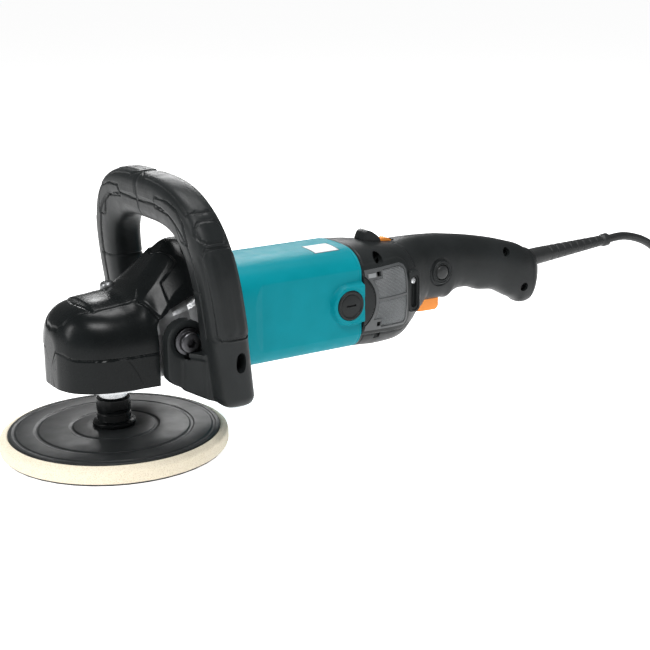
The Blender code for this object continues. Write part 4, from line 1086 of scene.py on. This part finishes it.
# Stations along X: half width, low, middle, high and power.
HANDLE_STATIONS = tuple(
    (*station, station[-1])
    for station in (
        (208.4, 44, 51, 95, 138.5, 3.2),
        (226.7, 43.5, 48.5, 93.5, 137.5, 2.8),
        (246.7, 41, 47.5, 91.5, 134.5, 2.6),
        (261.7, 36, 49, 92, 133, 2.6),
        (274.7, 28.5, 56, 94, 133.6, 2.5),
        (284.7, 23.8, 64, 97, 133.8, 2.5),
        (290.7, 21.6, 69, 99, 133.8, 2.5),
        (295.5, 20.8, 74.5, 101, 133.6, 2.5),
        (316, 19, 74.5, 102, 132.3, 2.5),
        (322, 18.5, 73.5, 101.5, 131.6, 2.4),
        (328, 18, 77, 102.5, 130.7, 2.3),
        (338, 17.5, 80, 104, 129.2, 2.3),
        (356, 17.5, 77, 101, 126, 2.3),
        (380, 18, 72, 96, 120.6, 2.3),
        (396, 18, 64, 90, 116, 2.4),
        (407, 17.5, 58, 86, 112.5, 2.5),
        (415, 16.5, 55.5, 83, 108.5, 2.5),
        (422, 15, 58.5, 82, 105, 2.5),
        (427, 12, 68, 84, 100.5, 2.5),
    )
)
# Each screw's x and z, half the handle's width there, and its well's radius.
HANDLE_SCREWS = ((230.0, 127.5, 28.0, 5.0), (385.5, 109.0, 12.8, 4.2), (407.5, 73.5, 15.8, 4.2))
LOCK = (308.0, 102.0)
DIAL = (258.5, 127.0)
LATCH_SPOT = (266.0, 103.0)
HOOD = (
    *((232.5, 133), (233.4, 139), (235.6, 143.6), (238, 145), (240, 145.2), (243.5, 143.8)),
    *((249, 140), (252, 137), (254, 128)),
)
LOCK_RING = (
    *((0, -14), (11, -14), (10.4, -19.5), (10.2, -21.2), (9.7, -21.7), (9, -21.7)),
    *((8.7, -21.2), (8.1, -21.2), (7.8, -21.6), (0, -21.6)),
)


def round_boss(r, z_low, z_high):
    """Points of a circle about the brush cap, from z_low to z_high on its rear side."""
    heights = np.linspace(z_low - MOTOR_Z, z_high - MOTOR_Z, 24)
    return [(BRUSH_X + (r * r - h * h) ** 0.5, MOTOR_Z + h) for h in heights]


SCREEN_OUTLINE = (
    *((210.4, 121.4), (251.5, 121.4), (256, 119.2), (258.2, 114.8), (258.2, 71)),
    *((255.5, 67), (210.4, 69.2)),
    *round_boss(27.2, 73.6, 116.4),
)
UPPER_OPENING = (
    *((229.5, 119.4), (251, 119.4), (254.4, 117.6), (256.2, 114), (256.2, 95.4)),
    *round_boss(30.2, 95.4, 112.6),
    (229.5, 112.6),
)
LOWER_OPENING = (
    *((256.2, 93.4), (256.2, 71.6), (254.2, 69.2), (227.6, 70.4), (227.6, 78)),
    *round_boss(30.2, 78.0, 93.4),
)
LATCH_OUTLINE = (
    *((260.4, 110.4), (262.4, 112.8), (269.6, 112.8), (271.8, 110.4)),
    *((271.8, 79.5), (269.6, 76.6), (262.6, 76.6), (260.4, 79.5)),
)
BODY_OUTLINE = (
    *((200, 150), (259, 137), (265, 131), (268.5, 126.5), (273, 114)),
    *((279, 100), (281, 84), (276, 60), (270, 40), (200, 40)),
)


def handle_side(x, z):
    """Half width of the rear handle at each (x, z)."""
    columns = list(zip(*HANDLE_STATIONS))
    half_w, low, middle, high, low_power, high_power = (monotone(columns[0], c, x) for c in columns[1:])
    above = z >= middle
    reach = np.where(above, high - middle, middle - low)
    power = np.where(above, high_power, low_power)
    share = np.clip(np.abs(z - middle) / reach, 0, 0.999)
    return half_w * (1 - share**power) ** (1 / power)


def side_at(x, z):
    """The same for one point."""
    return float(handle_side(np.array([x]), np.array([z]))[0])


def handle_features(rows):
    x, y, z = rows[..., 0], rows[..., 1], rows[..., 2]
    side = np.abs(y)
    crease = [(259, 137), (265, 131), (268.5, 126.5), (271, 120), (273, 114)]
    offset = groove(line_distance(x, z, crease), 1.6, 0.6) * (side > 8)
    offset += raised(signed_distance(x, z, BODY_OUTLINE), 0.5, 2.0)
    around = np.hypot(x - BRUSH_X, z - MOTOR_Z)
    offset += raised(around - 25.6, 1.5, 0.8) * (side > 36)
    frame_gap = signed_distance(x, z, SCREEN_OUTLINE)
    offset += raised(frame_gap - 3.4, 0.7, 1.2) * (side > 25) * smoothstep(around, 27.0, 28.0)
    offset += groove(x - 210.8, 0.9, 0.5) * (around > 27) * (frame_gap > 3.6)
    ring = np.hypot(x - LOCK[0], z - LOCK[1])
    offset += groove(ring - 11.6, 1.4, 0.9) * (y < -10)
    lower = line_distance(x, z, [(207, 66.2), (234, 63.6), (254, 62.0), (264, 66.0)])
    offset += groove(lower, 1.0, 0.6) * (side > 20)
    offset += 0.35 * smoothstep(x, 418, 420) * smoothstep(-x, -426, -424)
    return offset


def handle_shell():
    rows = station_rows(HANDLE_STATIONS, np.linspace(208.4, 427.0, 250), 260)
    rows = rows + row_normals(rows) * handle_features(rows)[..., None]
    shell = skin("handle_shell", rows, "black")
    hood = plate("hood", HOOD, "Y", -6.8, 6.8, edge=1.3)
    carve(shell, "UNION", hood, turned("ring", LOCK_RING, None, "Y", LOCK, 96, 0.2))
    inner = [(205.0, *HANDLE_STATIONS[0][1:]), *HANDLE_STATIONS[2:-2:2]]
    inner.append((424.0, 13.5, 64.0, 83.0, 103.0, 2.5, 2.5))
    cut(shell, skin("hollow", station_rows(inner, np.linspace(205, 424, 60), 80, 3.3)))
    bosses = []
    for index, (x, z, reach, _) in enumerate(HANDLE_SCREWS):
        bosses.append(drum(f"boss_{index}", "Y", (x, z), 6.0, 3 - reach, reach - 3, 48))
    carve(shell, "UNION", *bosses)
    return cut(shell, *handle_cutters())


def handle_cutters():
    tools = [
        block("trigger_slot", (292.4, -6.9, 50), (316.6, 6.9, 90), 0.8),
        block("dial_slot", (DIAL[0] - 10.6, -3.9, 116), (DIAL[0] + 10.6, 3.9, 150), 0.5),
        drum("guard_hole", "X", (0, GUARD_Z), 8.5, 418, 434, 48),
        drum("lock_hole", "Y", LOCK, 7.1, -30, -8, 64),
    ]
    for index, (x, z, reach, r) in enumerate(HANDLE_SCREWS):
        well = ((0, -reach - 14), (r, -reach - 14), (r, -reach + 7), (2.2, -reach + 7), (2.2, 10), (0, 10))
        tools.append(turned(f"well_{index}", well, None, "Y", (x, z), 48, 0.01))
    x, z = 226.8, 61.6
    depth = side_at(x, z)
    for side in (-1, 1):
        tools.append(plate(f"window_{side}", SCREEN_OUTLINE, "Y", *span(side, 20, 60)))
        low, high = span(side, depth - 1.6, 60)
        tools.append(block(f"notch_{side}", (x - 3.0, low, z - 2.4), (x + 3.0, high, z + 2.4)))
    return tools


def make_handle_halves():
    shell = handle_shell()
    for name, side in SIDES:
        half = new_object(f"handle_{name}", shell.data.copy())
        low, high = sorted((side * 0.18, side * -60))
        cut(half, block("split", (190, low, 20), (450, high, 170)))
        stand_for(half, "black_plastic", f"handle_half_{name}")
    bpy.data.objects.remove(shell, do_unlink=True)


# ---- dust screens


def shell_patch(name, outline, side, proud, deep, material):
    """A curved panel over the handle's side within an outline, from deep below to proud above."""
    patch = skin(name, station_rows(HANDLE_STATIONS, np.linspace(209.4, 276, 72), 240, -proud), material)
    carve(patch, "INTERSECT", plate("outline", outline, "Y", *span(side, 12, 60)))
    core = skin("core", station_rows(HANDLE_STATIONS, np.linspace(208.5, 280, 60), 160, deep))
    return cut(patch, core)


def surface_sheet(name, side, pitch, lift, material):
    """A grid sheet behind both openings, at a height above the handle's surface."""
    gx, gz = np.meshgrid(np.arange(215.5, 259.0, pitch), np.arange(66.5, 122.0, pitch), indexing="ij")
    gy = side * (handle_side(gx, gz) + lift)
    keep = np.minimum(signed_distance(gx, gz, UPPER_OPENING), signed_distance(gx, gz, LOWER_OPENING)) < 1.3
    places = [
        [(x, y, z) if kept else None for x, y, z, kept in zip(*columns)] for columns in zip(gx, gy, gz, keep)
    ]
    return grid_mesh(name, places, material)


def make_dust_screens():
    for name, side in SIDES:
        rim = shell_patch(f"screen_rim_{name}", SCREEN_OUTLINE, side, 1.3, 1.2, "screen")
        low, high = span(side, 12, 60)
        cut(
            rim,
            plate("upper", UPPER_OPENING, "Y", low, high),
            plate("lower", LOWER_OPENING, "Y", low, high),
            block("square", (223.4, low, 114.2), (227.8, high, 118.4)),
            block("notch", (222.8, low, 71.6), (226.8, high, 75.6)),
        )
        stand_for(rim, "grey_mesh", f"dust_screen_{name}")
        wires = surface_sheet(f"screen_mesh_{name}", side, 1.15, 0.35, "wire")
        wire = wires.modifiers.new("wires", "WIREFRAME")
        wire.thickness = 0.5 * MM
        wire.use_boundary = True
        stand_for(applied(wires), "grey_mesh")
        # A dark sheet 0.7 below the handle's surface, behind both openings and under the wires.
        back = surface_sheet(f"screen_back_{name}", side, 2.3, -0.7, "screen_back")
        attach(thickened(back, 0.3), BODY)
        # The pale catch beside the frame's square hole.
        catch = ((213.6, 114.6), (221.8, 114.6), (221.8, 117.8), (213.6, 117.8))
        stand_for(shell_patch(f"screen_catch_{name}", catch, side, 1.9, 0.6, "wire"), "grey_mesh")
        make_latch(name, side)


def make_latch(name, side):
    """The latch: a flat plate with a raised rim round a sunk slot, and its screw at the top."""
    x, z = LATCH_SPOT
    face = side_at(260.4, z) + 1.6
    latch = plate(f"latch_{name}", LATCH_OUTLINE, "Y", *span(side, 29.0, face), "black", 0.7)
    for r, top, bottom, depth in ((4.3, z + 1.6, 82.0, 0.9), (2.9, z + 1.2, 83.0, 4.0)):
        slot = [*arc(x, top, r, 0, pi, 16), *arc(x, bottom, r, pi, 2 * pi, 16)]
        cut(latch, plate("slot", slot, "Y", *span(side, face - depth, 60)))
    stand_for(latch, "black_plastic")
    head = ((0, -6), (1.8, -6), (1.8, -3.5), (2.7, -3.5), (2.7, -1.9), (0, -1.3))
    head = [(r, face + h) for r, h in head]
    make_screw(f"latch_bolt_{name}", head, side, (x, z + 0.8), "steel", f"latch_screw_{name}")


def make_screw(name, profile, side, spot, steel, node):
    """A pan-head screw with a cross recess."""
    screw = turned(name, [(r, side * h) for r, h in profile], steel, "Y", spot, 48, 0.3)
    top = profile[-1][1]
    low, high = span(side, top - 1.3, top + 3)
    tools = []
    for index, (a, b) in enumerate(((2.1, 0.45), (0.45, 2.1))):
        corners = (spot[0] - a, low, spot[1] - b), (spot[0] + a, high, spot[1] + b)
        tools.append(block(f"cross_{index}", *corners))
    cut(screw, *tools)
    stand_for(screw, steel, node)


def make_handle_screws():
    for index, (x, z, reach, _) in enumerate(HANDLE_SCREWS, 1):
        top = reach - 4.2
        under = top - 2.6
        profile = [(0, -8), (1.8, -8), (1.8, under), (3.8, under), (3.8, top - 0.8)]
        profile += [(2.6, top), (0, top + 0.1)]
        make_screw(f"shell_bolt_{index}", profile, -1, (x, z), "dark_steel", f"handle_screw_{index}")


# ---- controls


def make_controls():
    outline = [(293, 66.2), (293.6, 65.2), (295.2, 64.7), (312.4, 64.4), (314.0, 65.0), (316, 67.6)]
    outline += [(316, 84), (293, 84)]
    trigger = plate("trigger_grip", outline, "Y", -6.3, 6.3, "orange", 1.3)
    stand_for(trigger, "orange_plastic", "trigger", body="trigger_body")
    dome = ((0, -23.4), (2.5, -23.3), (4.6, -22.9), (5.9, -22.1), (6.6, -20.8), (6.7, -13.5), (0, -13.5))
    button = turned("lock_dome", dome, "rubber", "Y", LOCK, 72, 0.6)
    stand_for(button, "black_rubber", "lock_button", body="lock_button_body")
    rim = []
    for k in range(144):
        angle = 2 * pi * k / 144
        r = 9.5 - 0.5 * (0.5 - 0.5 * cos(24 * angle)) ** 2
        rim.append((DIAL[0] + r * cos(angle), DIAL[1] + r * sin(angle)))
    dial = plate("dial_wheel", rim, "Y", -3.3, 3.3, "orange")
    stand_for(dial, "orange_plastic", "speed_dial", body="dial_body")


def make_spring(name, node, joint, spot, r, wire, low, high, fixed_end, keep):
    """A compression spring, a coil of round wire from low to high; fixed_end is not used."""
    turns, steps, sides = 3.5, 84, 10
    rows = []
    for k in range(steps + 1):
        angle = 2 * pi * turns * k / steps
        height = low + wire + (high - low - 2 * wire) * k / steps
        section = ring_outline(r, height, wire, sides)
        rows.append([(spot[0] + u * cos(angle), spot[1] + u * sin(angle), v) for u, v in section])
    spring = stand_for(skin(name, rows, "steel"), "steel", node)
    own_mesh(spring)


def make_springs():
    pin, trigger = (LOCK_SPOT, 4.6, 0.55, 110.2, 118.6), ((304.5, 0), 3.6, 0.5, 84.2, 91.8)
    make_spring("pin_coil", "shaft_lock_spring", "shaft_lock_press", *pin, 110.2, 0.52)
    make_spring("trigger_coil", "trigger_spring", "trigger_pull", *trigger, 91.8, 0.2)


# ---- CAD pieces that stay

KEPT = {
    "nylon": ("hook_face",),
    "cast": ("gear_housing", "bearing_box"),
    "steel": (
        *("spindle", "armature_shaft"),
        *(f"{place}_bearing" for place in ("spindle", "needle", "front", "rear")),
        *(f"head_screw_{k}" for k in range(1, 5)),
    ),
    "dark_steel": ("bevel_gear", "pinion_gear"),
    "lamination": ("stator_core", "armature_core"),
    "copper": ("field_coil_top", "field_coil_bottom", "armature_windings", "commutator"),
    "carbon": ("carbon_brush_left", "carbon_brush_right"),
    "brass": ("brush_holder_left", "brush_holder_right"),
    "black": ("cooling_fan", "baffle_plate", "switch_body", "speed_controller"),
}


def dress_kept_nodes():
    for shade, names in KEPT.items():
        for name in names:
            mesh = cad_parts[name].data
            if not mesh.materials:
                mesh.materials.append(SHADES[shade])
            for index in range(len(mesh.materials)):
                mesh.materials[index] = SHADES[shade]


make_camera()
make_cord()
make_cord_guard()
make_floor()
make_lights()
make_pad()
make_head_cover()
make_shaft_lock()
make_loop_handle()
make_motor_housing()
make_brush_caps()
make_label()
make_handle_halves()
make_handle_screws()
make_dust_screens()
make_controls()
make_springs()
dress_kept_nodes()
